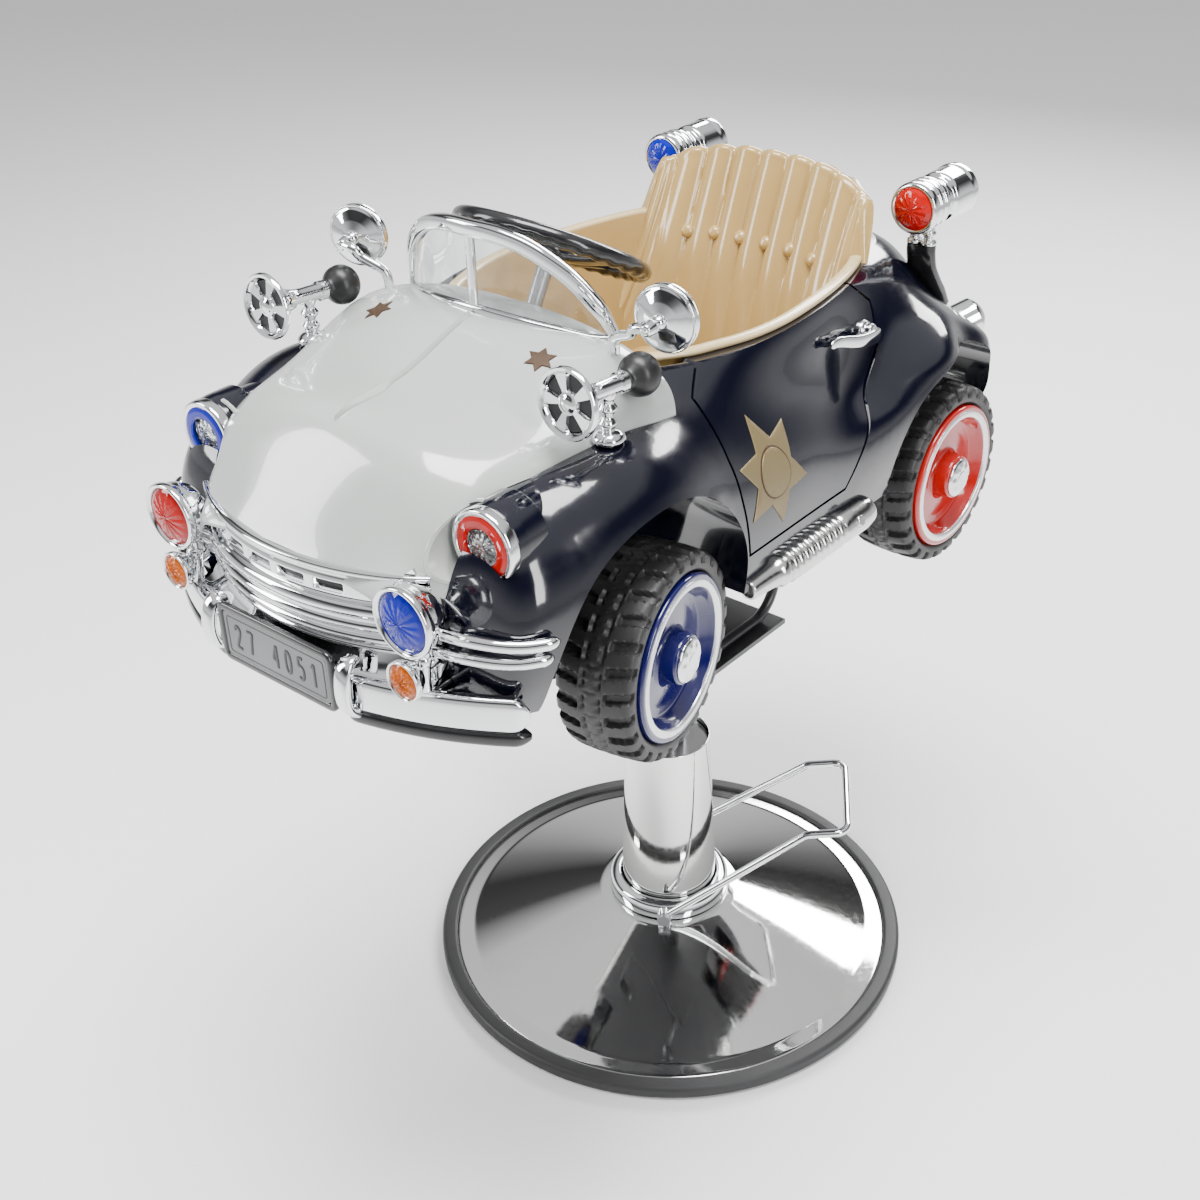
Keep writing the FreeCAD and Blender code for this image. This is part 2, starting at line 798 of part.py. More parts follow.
def heading():
    """Unit vectors of the pedal: outwards, and along its pivot."""
    turn = math.radians(PEDAL_HEADING)
    return V(math.cos(turn), math.sin(turn), 0), V(math.sin(turn), -math.cos(turn), 0)


def make_column():
    foot, top = mm("base_thickness"), mm("shroud_top_height")
    out, pivot = heading()
    wall = mm("shroud_gauge")
    wide, narrow = mm("shroud_foot_radius") - mm("fit_gap"), mm("shroud_top_radius")
    outer = Part.makeCone(wide, narrow, top - foot, V(0, 0, foot))
    inner = Part.makeCone(wide - wall, narrow - wall, top - foot, V(0, 0, foot))
    level = V(0, 0, mm("pedal_pivot_height"))
    stud_hole = mm("pedal_stud_radius") + mm("fit_gap")
    past = pivot * mm("collar_radius") * 2
    crossing = cylinder(stud_hole, level - past, level + past)
    feature("column_shroud", outer.cut([inner, crossing]))

    low = mm("cover_top_height")
    ring = Part.makeCylinder(mm("collar_radius"), mm("collar_height"), V(0, 0, low))
    top_edges = [e for e in ring.Edges if e.BoundBox.ZMin > low + mm("fit_gap")]
    chamfered = ring.makeChamfer(mm("collar_chamfer"), top_edges)
    bore = Part.makeCylinder(shroud_radius(low) + mm("fit_gap"), mm("collar_height"), V(0, 0, low))
    feature("column_collar", chamfered.cut([bore, crossing]))

    base, pump = size("base_thickness"), size("pump_radius")
    bore_radius = size("ram_radius") + size("running_gap")
    foot_top = base + size("pump_foot_thickness")
    head, head_low = size("pump_head_radius"), size("pump_top_height") - size("pump_head_thickness")
    body = revolved("pump_cylinder", [
        (0, base), (size("pump_foot_radius"), base), (size("pump_foot_radius"), foot_top), (pump, foot_top),
        (pump, head_low), (head, head_low), (head, size("pump_top_height")), (bore_radius, size("pump_top_height")),
        (bore_radius, size("pump_bore_floor")), (0, size("pump_bore_floor"))])
    bolt_holes(body, "pump_cylinder", foot_top)
    cross = doc.addObject("Part::Cylinder", "pump_stud_holes")
    cross.setExpression("Radius", (size("pedal_stud_radius") + size("running_gap")).text)
    cross.setExpression("Height", (size("pump_radius") * 4).text)
    along = FreeCAD.Rotation(V(0, 0, 1), pivot)
    cross.Placement = FreeCAD.Placement(level - pivot * mm("pump_radius") * 2, along)
    core = doc.addObject("Part::Cylinder", "pump_stud_core")
    core.setExpression("Radius", (size("pump_radius") - size("pedal_stud_depth")).text)
    core.setExpression("Height", "sizes.pump_top_height")
    sockets = doc.addObject("Part::Cut", "pump_stud_sockets")
    sockets.Base, sockets.Tool = cross, core
    pump_part = doc.addObject("Part::Cut", "pump_part")
    pump_part.Base, pump_part.Tool = body, sockets
    keep(pump_part, "pump_cylinder")

    bolts = []
    shank, head_r = mm("pump_bolt_radius"), mm("pump_bolt_head_radius")
    flange_top = foot + mm("pump_foot_thickness")
    for turn in range(4):
        angle = math.radians(turn * 90)
        at = V(math.cos(angle), math.sin(angle), 0) * mm("pump_bolt_circle_radius")
        stem = cylinder(shank, at + V(0, 0, mm("cover_gauge")), at + V(0, 0, flange_top))
        cap = cylinder(head_r, at + V(0, 0, flange_top), at + V(0, 0, flange_top + mm("pump_bolt_head_height")))
        bolts.append(stem.fuse(cap).removeSplitter())
    for way in (1, -1):
        reach = mm("pedal_arm_offset") + mm("pedal_eye_width") / 2 + mm("fit_gap")
        root = mm("pump_radius") - mm("pedal_stud_depth") + mm("fit_gap")
        stud = cylinder(mm("pedal_stud_radius"), level + pivot * way * root, level + pivot * way * reach)
        nut = cylinder(mm("pedal_nut_radius"), level + pivot * way * reach,
                       level + pivot * way * (reach + mm("pedal_nut_width")))
        bolts.append(stud.fuse(nut).removeSplitter())
    feature("base_bolts", Part.makeCompound(bolts))


def make_pedal():
    out, pivot = heading()
    level = V(0, 0, mm("pedal_pivot_height"))

    def at(reach, offset, height):
        return out * reach + pivot * offset + V(0, 0, height)
    arm, end = mm("pedal_arm_offset"), mm("pedal_end_offset")
    start = mm("pedal_eye_radius") * 0.7
    high = mm("pedal_bend_height")
    slope = (high - mm("pedal_pivot_height")) / mm("pedal_bend_reach")
    route = [at(start, arm, mm("pedal_pivot_height") + start * slope), at(mm("pedal_bend_reach"), end, high),
             at(mm("pedal_end_reach"), end, mm("pedal_end_height")),
             at(mm("pedal_end_reach"), -end, mm("pedal_end_height")), at(mm("pedal_bend_reach"), -end, high),
             at(start, -arm, mm("pedal_pivot_height") + start * slope)]
    loop = tube(route, mm("pedal_rod_radius"), mm("pedal_corner_radius"))
    eyes, holes = [], []
    for way in (1, -1):
        near = level + pivot * way * (arm - mm("pedal_eye_width") / 2)
        far = level + pivot * way * (arm + mm("pedal_eye_width") / 2)
        eyes.append(cylinder(mm("pedal_eye_radius"), near, far))
        past = pivot * way * mm("overrun")
        holes.append(cylinder(mm("pedal_stud_radius") + mm("running_gap"), near - past, far + past))
    feature("pump_pedal", loop.fuse(eyes).cut(holes).removeSplitter())


def make_lift():
    top = size("plate_underside") - size("fit_gap")
    chamfer = size("fit_gap") * 6
    ram = size("ram_radius")
    body = revolved("lift_piston", [
        (0, size("ram_foot_height")), (ram, size("ram_foot_height")), (ram, top - chamfer), (ram - chamfer, top),
        (0, top)])
    keep(body, "lift_piston")

    under = size("plate_underside")
    bore = size("ram_radius") + size("running_gap")
    hub = revolved("swivel_hub", [
        (bore, under - size("hub_length")), (size("hub_radius"), under - size("hub_length")),
        (size("hub_radius"), under + size("overrun") / 2), (0, under + size("overrun") / 2), (0, under),
        (bore, under)])
    wide, front, rear = size("plate_half_width"), size("plate_front_reach"), size("plate_rear_reach")
    plate = padded("swivel_top", "XY_Plane", [(-wide, -front), (wide, -front), (wide, rear), (-wide, rear)],
                   size("plate_thickness"))
    put(plate, z=under)
    joined = doc.addObject("Part::Fuse", "swivel_joined")
    joined.Base, joined.Tool = hub, plate
    keep(joined, "swivel_plate")


def make_under_frame():
    rod = mm("hoop_rod_radius")
    level = mm("plate_underside") + mm("plate_thickness") + rod
    top = mm("floor_height") - mm("hoop_foot_thickness")
    front, rear = -mm("hoop_front_reach"), mm("hoop_rear_reach")
    hoops, bolts, places = [], [], []
    for side in (1, -1):
        x = side * mm("hoop_offset")
        route = [V(x, front, top), V(x, front, level), V(x, rear, level), V(x, rear, top)]
        hoop = tube(route, rod, mm("hoop_bend_radius"))
        wide = mm("hoop_foot_half_width")
        feet, holes = [], []
        for y in (front, rear):
            feet.append(box(x - wide, x + wide, y - rod * 2, y + rod * 2, top, mm("floor_height")))
            for step in (-1, 1):
                at = V(x + step * mm("frame_bolt_spacing"), y, 0)
                places.append(at)
                shank = mm("frame_bolt_radius")
                holes.append(cylinder(shank + mm("fit_gap"), at + V(0, 0, top - rod),
                                      at + V(0, 0, mm("floor_height") + rod)))
                stem = cylinder(shank, at + V(0, 0, top), at + V(0, 0, mm("floor_height") + mm("floor_gauge") * 0.8))
                head = cylinder(mm("frame_bolt_head_radius"), at + V(0, 0, top - mm("frame_bolt_head_height")),
                                at + V(0, 0, top))
                bolts.append(stem.fuse(head).removeSplitter())
        hoops.append(hoop.fuse(feet).cut(holes).removeSplitter())
    feature("under_frame", Part.makeCompound(hoops))
    feature("frame_bolts", Part.makeCompound(bolts))
    return places


# Car body, with the panels and tub that fit it


def kingpin_tongue(grow):
    """The tongue that reaches into each front wheel well to hold the kingpin boss."""
    radius = mm("kingpin_boss_radius") + grow
    centre = V(mm("kingpin_offset"), mm("front_axle_y"), mm("floor_height"))
    low, high = mm("floor_height"), mm("floor_height") + mm("floor_gauge") + grow
    disc = cylinder(radius, V(centre.x, centre.y, low), V(centre.x, centre.y, high))
    web = box(mm("arch_inner_offset") - mm("body_gauge") * 3, centre.x, centre.y - radius, centre.y + radius,
              low, high)
    boss = cylinder(radius, V(centre.x, centre.y, low), V(centre.x, centre.y, mm("kingpin_boss_top") + grow))
    return disc.fuse([web, boss]).removeSplitter()


def make_body():
    gauge = mm("body_gauge")
    drop = mm("overrun") * 2
    outer = body_solid(0, drop, 0)
    pods = []
    centre = V(mm("headlight_x"), mm("headlight_y"), mm("headlight_height"))
    back = V(0, mm("headlight_pod_length"), 0)
    for side in (1, -1):
        at = V(side * centre.x, centre.y + mm("headlight_bezel_depth") / 2, centre.z)
        pods.append(cylinder(mm("headlight_radius") + mm("fit_gap") * 4, at, at + back))
    top = mm("floor_height") + mm("body_rise")
    wide = mm("body_half_width") * 2
    above = box(-wide, wide, -wide * 2, wide * 2, top, top + wide)
    outer = outer.fuse(pods).cut(above)
    inner = body_solid(gauge, drop * 2, gauge)
    wells = arches(0)
    cavity = inner.cut(arches(gauge))
    shell = outer.cut([cavity] + wells)
    under = box(-wide, wide, -wide * 2, wide * 2, 0, mm("floor_height"))
    hoods = [hood_solid(-mm("panel_gap"), deep) for deep in (0, drop)]
    sockets = []
    for side in (1, -1):
        at = V(side * centre.x, centre.y - mm("overrun") * 4, centre.z)
        seat = V(at.x, centre.y + mm("headlight_bezel_depth") / 2, at.z)
        sockets.append(cylinder(mm("headlight_radius") + mm("fit_gap"), at, seat))
        sockets.append(cylinder(mm("headlight_radius") - mm("headlight_bezel_width"), at, at + back * 0.9))
    opening = cockpit_prism(mm("seat_pan_height"), mm("back_height"), 0)
    hood_bay = box(-mm("hood_half_width"), mm("hood_half_width"), mm("body_front") + gauge * 3,
                   mm("cockpit_front") + drop, mm("hood_foot_height"), top + drop)
    hood_bay = hood_bay.common(hood_solid(mm("hood_gauge") * 2, drop))
    tongue = on_both(kingpin_tongue(mm("fit_gap")))
    doors = [door_prism(side, mm("door_gap")) for side in (1, -1)]
    shell = shell.cut(hoods + [under, opening, hood_bay] + sockets + tongue + doors)
    body = sorted(shell.Solids, key=lambda s: -s.Volume)[0]

    pan_space = body_solid(gauge + mm("fit_gap"), drop * 2, gauge + mm("fit_gap"))
    floor = mm("floor_height")
    pan = pan_space.common(box(-wide, wide, -wide, wide, floor, floor + mm("floor_gauge")))
    pan = pan.cut(arches(gauge + mm("fit_gap")))
    pan = sorted(pan.Solids, key=lambda s: -s.Volume)[0]
    extras = on_both(kingpin_tongue(0))
    ears, holes = [], []
    axle = V(0, mm("rear_axle_y"), mm("rear_axle_height"))
    for side in (1, -1):
        x = side * mm("axle_ear_offset")
        half, wall = mm("axle_ear_half_width"), mm("axle_ear_thickness")
        ears.append(box(x - wall / 2, x + wall / 2, axle.y - half, axle.y + half, axle.z - half, floor))
        pin = V(side * mm("kingpin_offset"), mm("front_axle_y"), 0)
        holes.append(cylinder(mm("kingpin_radius") + mm("running_gap"), pin, pin + V(0, 0, mm("body_rise") * 4)))
    holes.append(cylinder(mm("axle_radius") + mm("running_gap"), axle - V(wide, 0, 0), axle + V(wide, 0, 0)))
    for at in make_under_frame():
        hole = mm("frame_bolt_radius") + mm("fit_gap")
        holes.append(cylinder(hole, V(at.x, at.y, mm("floor_height") - drop),
                              V(at.x, at.y, mm("floor_height") + mm("floor_gauge") * 0.85)))
    pan = pan.fuse(extras + ears).removeSplitter()
    shaft = steering_line()
    end = shaft(mm("steering_shaft_length"))
    half, long = mm("fork_opening_half_width"), mm("fork_opening_half_length")
    opening = box(-half, half, end.y - mm("crank_length") / 2 - long, end.y - mm("crank_length") / 2 + long,
                  mm("floor_height") - drop, mm("floor_height") + drop)
    feature("floor_pan", pan.cut(holes + [opening]))
    feature("body_shell", body)

    shell_hood = hood_solid(0, 0).cut(hood_solid(mm("hood_gauge"), drop))
    pod_space = []
    for side in (1, -1):
        at = V(side * centre.x, centre.y - mm("headlight_pod_length"), centre.z)
        pod_space.append(cylinder(mm("headlight_radius") + mm("fit_gap") * 4 + mm("panel_gap"), at, at + back * 2))
    shell_hood = shell_hood.cut(pod_space + lamp_spaces())
    feature("hood_shell", sorted(shell_hood.Solids, key=lambda s: -s.Volume)[0])
    return outer


def make_doors(outer, skin):
    drop = mm("overrun") * 2
    core = body_solid(mm("door_gauge"), drop * 2, 0)
    for side, name in ((1, "left"), (-1, "right")):
        opening = cockpit_prism(mm("floor_height"), mm("back_height"), mm("tub_clearance") / 2)
        panel = outer.common(door_prism(side, 0)).cut([core, opening])
        panel = sorted(panel.Solids, key=lambda s: -s.Volume)[0]
        feature("door_" + name, panel)

        length, high = mm("handle_length"), mm("handle_half_height")
        y, z = mm("handle_y"), mm("handle_height")
        ray = Part.makeLine(V(side * mm("arch_inner_offset"), y, z), V(side * mm("body_half_width") * 2, y, z))
        surface = max(abs(v.Point.x) for v in panel.common(ray).Vertexes)
        root = side * (surface - mm("fit_gap"))
        tip = side * (surface + mm("handle_stand_off"))
        face = V(side * (surface + high * 0.7), y, z)
        flange = cylinder(high * 1.6, V(root - side * high, y, z), face).cut(skin)
        flange = sorted(flange.Solids, key=lambda s: -s.Volume)[0]
        post = cylinder(high, face, V(tip, y, z))
        grip = cylinder(high * 0.8, V(tip, y + high, z), V(tip, y - length, z + high / 2))
        handle = flange.fuse([post, grip])
        handle = sorted(handle.Solids, key=lambda s: -s.Volume)[0]
        feature("door_handle_" + name, handle)


def make_tub():
    top = mm("floor_height") + mm("body_rise") + mm("fit_gap")
    clear, gauge = -mm("tub_clearance"), mm("tub_gauge")
    floor, share = mm("tub_floor_height"), mm("tub_floor_share")
    flange_top = top + mm("tub_flange_thickness")
    outer = Part.makeLoft([cockpit_wire(floor, clear, share), cockpit_wire(flange_top, clear)], True, True)
    outer = outer.cut(arches(mm("body_gauge") + mm("fit_gap") * 3))
    inner = Part.makeLoft([cockpit_wire(floor + gauge, clear - gauge, share),
                           cockpit_wire(flange_top, clear - gauge)], True, True)
    inner = inner.cut(arches(mm("body_gauge") + mm("fit_gap") * 3 + gauge))
    flange = cockpit_prism(top, flange_top, mm("tub_flange_width"))
    pan_front, wide = mm("seat_pan_front"), mm("cockpit_half_width") * 2
    pan = mm("seat_pan_height")
    seat = box(-wide, wide, pan_front, wide, floor, pan).common(outer)
    tub = outer.fuse(flange).cut(inner)
    hollow = Part.makeLoft([cockpit_wire(floor - gauge, clear - gauge, share),
                            cockpit_wire(flange_top, clear - gauge)], True, True)
    hollow = hollow.common(box(-wide, wide, pan_front + gauge, wide, 0, pan - gauge))
    hollow = hollow.cut(arches(mm("body_gauge") + mm("fit_gap") * 3 + gauge))
    low, high = mm("seat_pan_height") - gauge, mm("back_height")
    rise = high - low
    band = cockpit_prism(low, high, clear - gauge / 2)
    band = band.cut(cockpit_prism(low - gauge, high + gauge, clear - mm("back_gauge")))
    front, length = mm("cockpit_front"), mm("cockpit_length")
    side = [V(-wide, front + y * length, low + z * rise) for y, z in BACK_SIDE_SHARES]
    side.append(V(-wide, front + length * 1.2, high))
    side.append(V(-wide, front + length * 1.2, low))
    profile = Part.Face(Part.makePolygon(side + side[:1])).extrude(V(wide * 2, 0, 0))
    half = mm("cockpit_half_width")
    crown = [V(x * half, 0, low + z * rise) for x, z in BACK_FRONT_SHARES]
    crown += [V(-p.x, 0, p.z) for p in reversed(crown[:-1])]
    foot = Part.makePolygon([crown[-1], V(-half, 0, low), V(half, 0, low), crown[0]])
    face = Part.Face(Part.Wire([smooth(crown)] + foot.Edges))
    front_view = face.extrude(V(0, wide, 0))
    back = band.common(profile).common(front_view).cut(arches(mm("body_gauge") + mm("fit_gap") * 3))
    tub = tub.fuse([seat, back]).cut(hollow)
    bore = steering_line()
    hole = cylinder(mm("steering_shaft_radius") + mm("fit_gap") * 10, bore(mm("steering_hub_depth")),
                    bore(mm("steering_shaft_length") + mm("crank_length")))
    tub = tub.cut(hole)
    feature("seat_tub", sorted(tub.Solids, key=lambda s: -s.Volume)[0])


def make_dashboard():
    """The panel that closes the cowl between the hood's rear edge and the tub."""
    rear = mm("hood_front") + mm("hood_length")
    panel = box(-mm("dash_half_width"), mm("dash_half_width"), rear - mm("dash_depth"), rear,
                mm("dash_foot"), mm("hood_foot_height") + mm("hood_rise") * 2)
    panel = panel.common(hood_solid(mm("hood_gauge") + mm("fit_gap"), 0))
    bore = steering_line()
    hole = cylinder(mm("steering_shaft_radius") + mm("fit_gap"), bore(0), bore(mm("steering_shaft_length")))
    flange = cockpit_prism(mm("floor_height"), mm("back_height"), mm("tub_flange_width") + mm("fit_gap") * 2)
    feature("dashboard", panel.cut([hole, flange]))


# Steering and wheels


def steering_line():
    """A function from a distance down the column to the point there."""
    tilt = math.radians(STEERING_TILT)
    start = V(0, mm("steering_centre_y"), mm("steering_centre_height"))
    down = V(0, -math.cos(tilt), -math.sin(tilt))
    return lambda distance: start + down * distance


def make_steering():
    ring_radius, grip = size("steering_ring_radius"), size("steering_grip_radius")
    body = new_body("steering_wheel")
    sketch = body.newObject("Sketcher::SketchObject", "grip")
    sketch.AttachmentSupport = [(plane(body, "XZ_Plane"), "")]
    sketch.MapMode = "FlatFace"
    sketch.addGeometry(Part.Circle(V(float(ring_radius), 0, 0), V(0, 0, 1), float(grip)), False)
    place_point(sketch, 0, 3, ring_radius, 0)
    bind(sketch, sketch.addConstraint(Sketcher.Constraint("Radius", 0, float(grip))), grip)
    turn = body.newObject("PartDesign::Revolution", "grip_turn")
    turn.Profile, turn.ReferenceAxis, turn.Angle = sketch, (sketch, ["V_Axis"]), 360
    hub, depth = size("steering_hub_radius"), size("steering_hub_depth")
    shaft = size("steering_shaft_radius")
    core = outline(body, "XZ_Plane", [
        (0, -grip), (hub, -grip), (hub, -grip + depth / 2), (hub - grip, -grip + depth), (0, -grip + depth)], "hub")
    hub_turn = body.newObject("PartDesign::Revolution", "hub_turn")
    hub_turn.Profile, hub_turn.ReferenceAxis, hub_turn.Angle = core, (core, ["V_Axis"]), 360
    half = size("steering_spoke_half_width")
    near, far = hub - grip, ring_radius
    spoke = outline(body, "XY_Plane", [(near, -half), (far, -half * 0.7), (far, half * 0.7), (near, half)], "spoke")
    pad = body.newObject("PartDesign::Pad", "spoke_pad")
    pad.Profile, pad.Midplane = spoke, True
    pad.setExpression("Length", "sizes.steering_spoke_thickness")
    pattern = body.newObject("PartDesign::PolarPattern", "spokes")
    pattern.Originals = [pad]
    pattern.Axis = (spoke, ["N_Axis"])
    pattern.Occurrences = 3
    body.Tip = pattern
    put(body, y=size("steering_centre_y"), z=size("steering_centre_height"), axis=V(1, 0, 0),
        angle=STEERING_TILT - 90)
    twist = FreeCAD.Rotation(V(0, 0, 1), -90 + 2 * STEER_AT_REST)
    body.Placement = FreeCAD.Placement(body.Placement.Base, body.Placement.Rotation.multiply(twist))
    keep(body, "steering_wheel")

    line = steering_line()
    top = float(grip) + mm("fit_gap")
    rod = cylinder(float(shaft), line(top), line(mm("steering_shaft_length")))
    low = line(mm("steering_shaft_length"))
    down = line(1) - line(0)
    lead = V(0, down.z, -down.y)
    swing = math.radians(2 * STEER_AT_REST)
    across = V(math.sin(swing), 0, 0) + lead * math.cos(swing)
    thick = mm("tie_rod_thickness")
    end = low + across * mm("crank_length")
    collar = cylinder(float(shaft) * 1.4, low - down * thick, low)
    arm = cylinder(thick * 0.4, low - down * thick / 2, end - down * thick / 2)
    ball = Part.makeSphere(mm("crank_ball_radius"), end - down * thick / 2)
    feature("steering_shaft", rod.fuse([collar, arm, ball]))


def link(radius, near, far, low, high):
    """A bar with round ends along Y, from one end's centre to the other's."""
    corners = [V(radius, near, low), V(radius, far, low), V(-radius, far, low), V(-radius, near, low)]
    rim = [Part.LineSegment(corners[0], corners[1]).toShape(),
           Part.Arc(corners[1], V(0, far + radius, low), corners[2]).toShape(),
           Part.LineSegment(corners[2], corners[3]).toShape(),
           Part.Arc(corners[3], V(0, near - radius, low), corners[0]).toShape()]
    return Part.Face(Part.Wire(rim)).extrude(V(0, 0, high - low))


def knuckle():
    """The left knuckle about its own kingpin, straight ahead: pin, block, cheek, stub axle and arm."""
    low = mm("floor_height") - mm("fit_gap") - mm("knuckle_block_height")
    high = mm("floor_height") - mm("fit_gap")
    pin = cylinder(mm("kingpin_radius"), V(0, 0, low), V(0, 0, mm("kingpin_boss_top")))
    start, wall = mm("knuckle_cheek_start"), mm("knuckle_cheek_thickness")
    half = mm("knuckle_cheek_half_width")
    block = cylinder(mm("kingpin_boss_radius"), V(0, 0, low), V(0, 0, high))
    bridge = box(0, start + wall / 2, -half, half, low, high)
    cheek = box(start, start + wall, -half, half, low, mm("knuckle_cheek_top"))
    level = V(0, 0, mm("front_axle_height"))
    tip = mm("wheel_track_half") - mm("kingpin_offset") + mm("tyre_half_width") * 0.8
    axle = cylinder(mm("axle_radius"), level + V(start, 0, 0), level + V(tip, 0, 0))
    length, arm_half = mm("knuckle_arm_length"), mm("knuckle_arm_half_width")
    slot_half, slot_radius = mm("tie_slot_length") / 2 - mm("tie_slot_radius"), mm("tie_slot_radius")
    arm = link(arm_half, -length - slot_half, 0, low, low + mm("knuckle_arm_thickness"))
    over = mm("overrun")
    slot = link(slot_radius, -length - slot_half, -length + slot_half, low - over, low + over * 2)
    return pin.fuse([block, bridge, cheek, axle, arm.cut(slot)])


def make_front_steering():
    turn = FreeCAD.Rotation(V(0, 0, 1), STEER_AT_REST)
    left = knuckle()
    right = left.mirror(V(0, 0, 0), V(1, 0, 0))
    for shape, side, name in ((left, 1, "knuckle_left"), (right, -1, "knuckle_right")):
        placed = shape.copy()
        placed.Placement = FreeCAD.Placement(V(side * mm("kingpin_offset"), mm("front_axle_y"), 0), turn)
        feature(name, placed)
    swing = math.radians(STEER_AT_REST)
    shift = mm("knuckle_arm_length") * math.sin(swing)
    y = mm("front_axle_y") - mm("knuckle_arm_length") * math.cos(swing)
    low = mm("floor_height") - mm("fit_gap") - mm("knuckle_block_height")
    level = low - mm("tie_rod_thickness") - mm("fit_gap")
    reach, half = mm("kingpin_offset"), mm("tie_rod_half_width")
    bar = box(shift - reach, shift + reach, y - half, y + half, level, level + mm("tie_rod_thickness"))
    parts = []
    for side in (1, -1):
        at = V(shift + side * reach, y, level)
        parts.append(cylinder(half, at, at + V(0, 0, mm("tie_rod_thickness"))))
        parts.append(cylinder(mm("tie_pin_radius"), at,
                              at + V(0, 0, mm("tie_rod_thickness") + mm("knuckle_arm_thickness"))))
    top = level + mm("tie_rod_thickness")
    for side in (1, -1):
        near = mm("crank_ball_radius") + mm("fork_play")
        x = shift + side * near
        far = x + side * mm("fork_wall")
        deep = mm("fork_half_depth")
        parts.append(box(min(x, far), max(x, far), y - deep, y + deep, level, top + mm("fork_height")))
    feature("tie_rod", bar.fuse(parts).removeSplitter())


def make_wheel_parts():
    """One tyre, one rim and one cap about the local Z axis, with the outer side up."""
    half, radius = size("tyre_half_width"), size("tyre_radius")
    bore = size("rim_bore_radius") + size("wheel_rim_gap")
    drop, groove, wide = size("tyre_shoulder_drop"), size("tyre_groove_depth"), size("tyre_groove_half_width")
    body = revolved("tyre", [
        (bore, -half), (radius - drop * 2, -half), (radius - drop, -half + drop / 2), (radius, -half + drop * 3),
        (radius, -wide), (radius - groove, -wide), (radius - groove, wide), (radius, wide),
        (radius, half - drop * 3), (radius - drop, half - drop / 2), (radius - drop * 2, half), (bore, half)])
    slot, depth, length = size("lug_slot_width") / 2, size("lug_slot_depth"), size("lug_slot_length")
    for name, way in (("outer_lugs", 1), ("inner_lugs", -1)):
        sketch = outline(body, "XZ_Plane", [
            (radius - depth, (half - length) * way), (radius + depth, (half - length) * way),
            (radius + depth, (half + slot) * way), (radius - depth * 2, (half + slot) * way)], name + "_sketch")
        cut = body.newObject("PartDesign::Pocket", name + "_cut")
        cut.Profile, cut.Midplane = sketch, True
        cut.setExpression("Length", "sizes.lug_slot_width")
        pattern = body.newObject("PartDesign::PolarPattern", name)
        pattern.Originals = [cut]
        pattern.Axis = (sketch, ["V_Axis"])
        pattern.Occurrences = 28
        body.Tip = pattern
    tyre = body

    wall, dish = size("rim_wall"), size("rim_dish_gauge")
    ring = size("rim_bore_radius")
    face, floor = half - size("cap_rise") / 6, half - size("rim_dish_depth")
    hub, axle = size("wheel_hub_radius"), size("axle_radius") + size("running_gap")
    boss, tip, boss_top = size("rim_boss_radius"), size("rim_boss_tip_radius"), floor + size("rim_boss_length")
    pocket = half * 0.8 + size("fit_gap")
    rim = revolved("rim", [
        (axle, -half), (hub, -half), (hub, floor - dish), (ring - wall * 2, floor - dish),
        (ring - wall, floor - dish * 2),
        (ring - wall, -half + wall), (ring, -half + wall), (ring, half), (ring - wall / 2, half + wall / 4),
        (ring - wall * 1.5, face), (ring - wall * 2, floor), (boss, floor), (tip, boss_top), (0, boss_top),
        (0, pocket), (axle, pocket)])
    cap_radius, rise = size("cap_radius"), size("cap_rise")
    seat = boss_top + size("wheel_rim_gap")
    dome = Size((float(cap_radius) ** 2 + float(rise / 2) ** 2) / (2 * float(rise / 2)),
                f"(({cap_radius.text})^2 + ({(rise / 2).text})^2) / (2 * {(rise / 2).text})")
    cap = revolved("hubcap", [(0, seat), (cap_radius, seat), (cap_radius, seat + rise / 2, dome), (0, seat + rise)])
    return tyre, rim, cap


def make_wheels():
    parts = make_wheel_parts()
    reach = mm("wheel_track_half") - mm("kingpin_offset")
    for end, name in (("front", "front"), ("rear", "rear")):
        for side, hand in ((1, "left"), (-1, "right")):
            turn = STEER_AT_REST if end == "front" else 0
            swing = math.radians(turn)
            if end == "front":
                x = side * (mm("kingpin_offset") + reach * math.cos(swing))
                y = mm("front_axle_y") + side * reach * math.sin(swing)
            else:
                x = side * mm("wheel_track_half")
                y = mm("rear_axle_y")
            heading_turn = FreeCAD.Rotation(V(0, 0, 1), turn if side > 0 else turn + 180)
            lay = FreeCAD.Rotation(V(0, 1, 0), 90)
            place = FreeCAD.Placement(V(x, y, mm(end + "_axle_height")), heading_turn.multiply(lay))
            for part, word in zip(parts, ("tyre", "rim", "hubcap")):
                copy = doc.addObject("Part::Compound", f"{word}_{name}_{hand}")
                copy.Links = [part]
                copy.Placement = place
                keep(copy, f"{word}_{name}_{hand}")
    length = mm("wheel_track_half") + mm("tyre_half_width") * 0.8
    body = doc.addObject("Part::Cylinder", "rear_axle_rod")
    body.setExpression("Radius", "sizes.axle_radius")
    body.setExpression("Height", f"2 * (sizes.wheel_track_half + sizes.tyre_half_width * 0.8)")
    body.Placement = FreeCAD.Placement(V(-length, mm("rear_axle_y"), mm("rear_axle_height")),
                                       FreeCAD.Rotation(V(0, 1, 0), 90))
    keep(body, "rear_axle")


# Windshield


def screen_outline(border):
    """The windshield's front view, drawn in by a border."""
    wide, low, rise = mm("screen_half_width"), mm("screen_foot_height"), mm("screen_rise")
    top = [(x * wide, low + z * rise) for x, z in SCREEN_SHARES]
    foot = [(x * wide, low + z * rise) for x, z in SCREEN_FOOT_SHARES]
    half = top + foot
    around = half[::-1] + [(-x, z) for x, z in half[1:-1]]
    return [V(x, 0, z) for x, z in inset(around, border)]


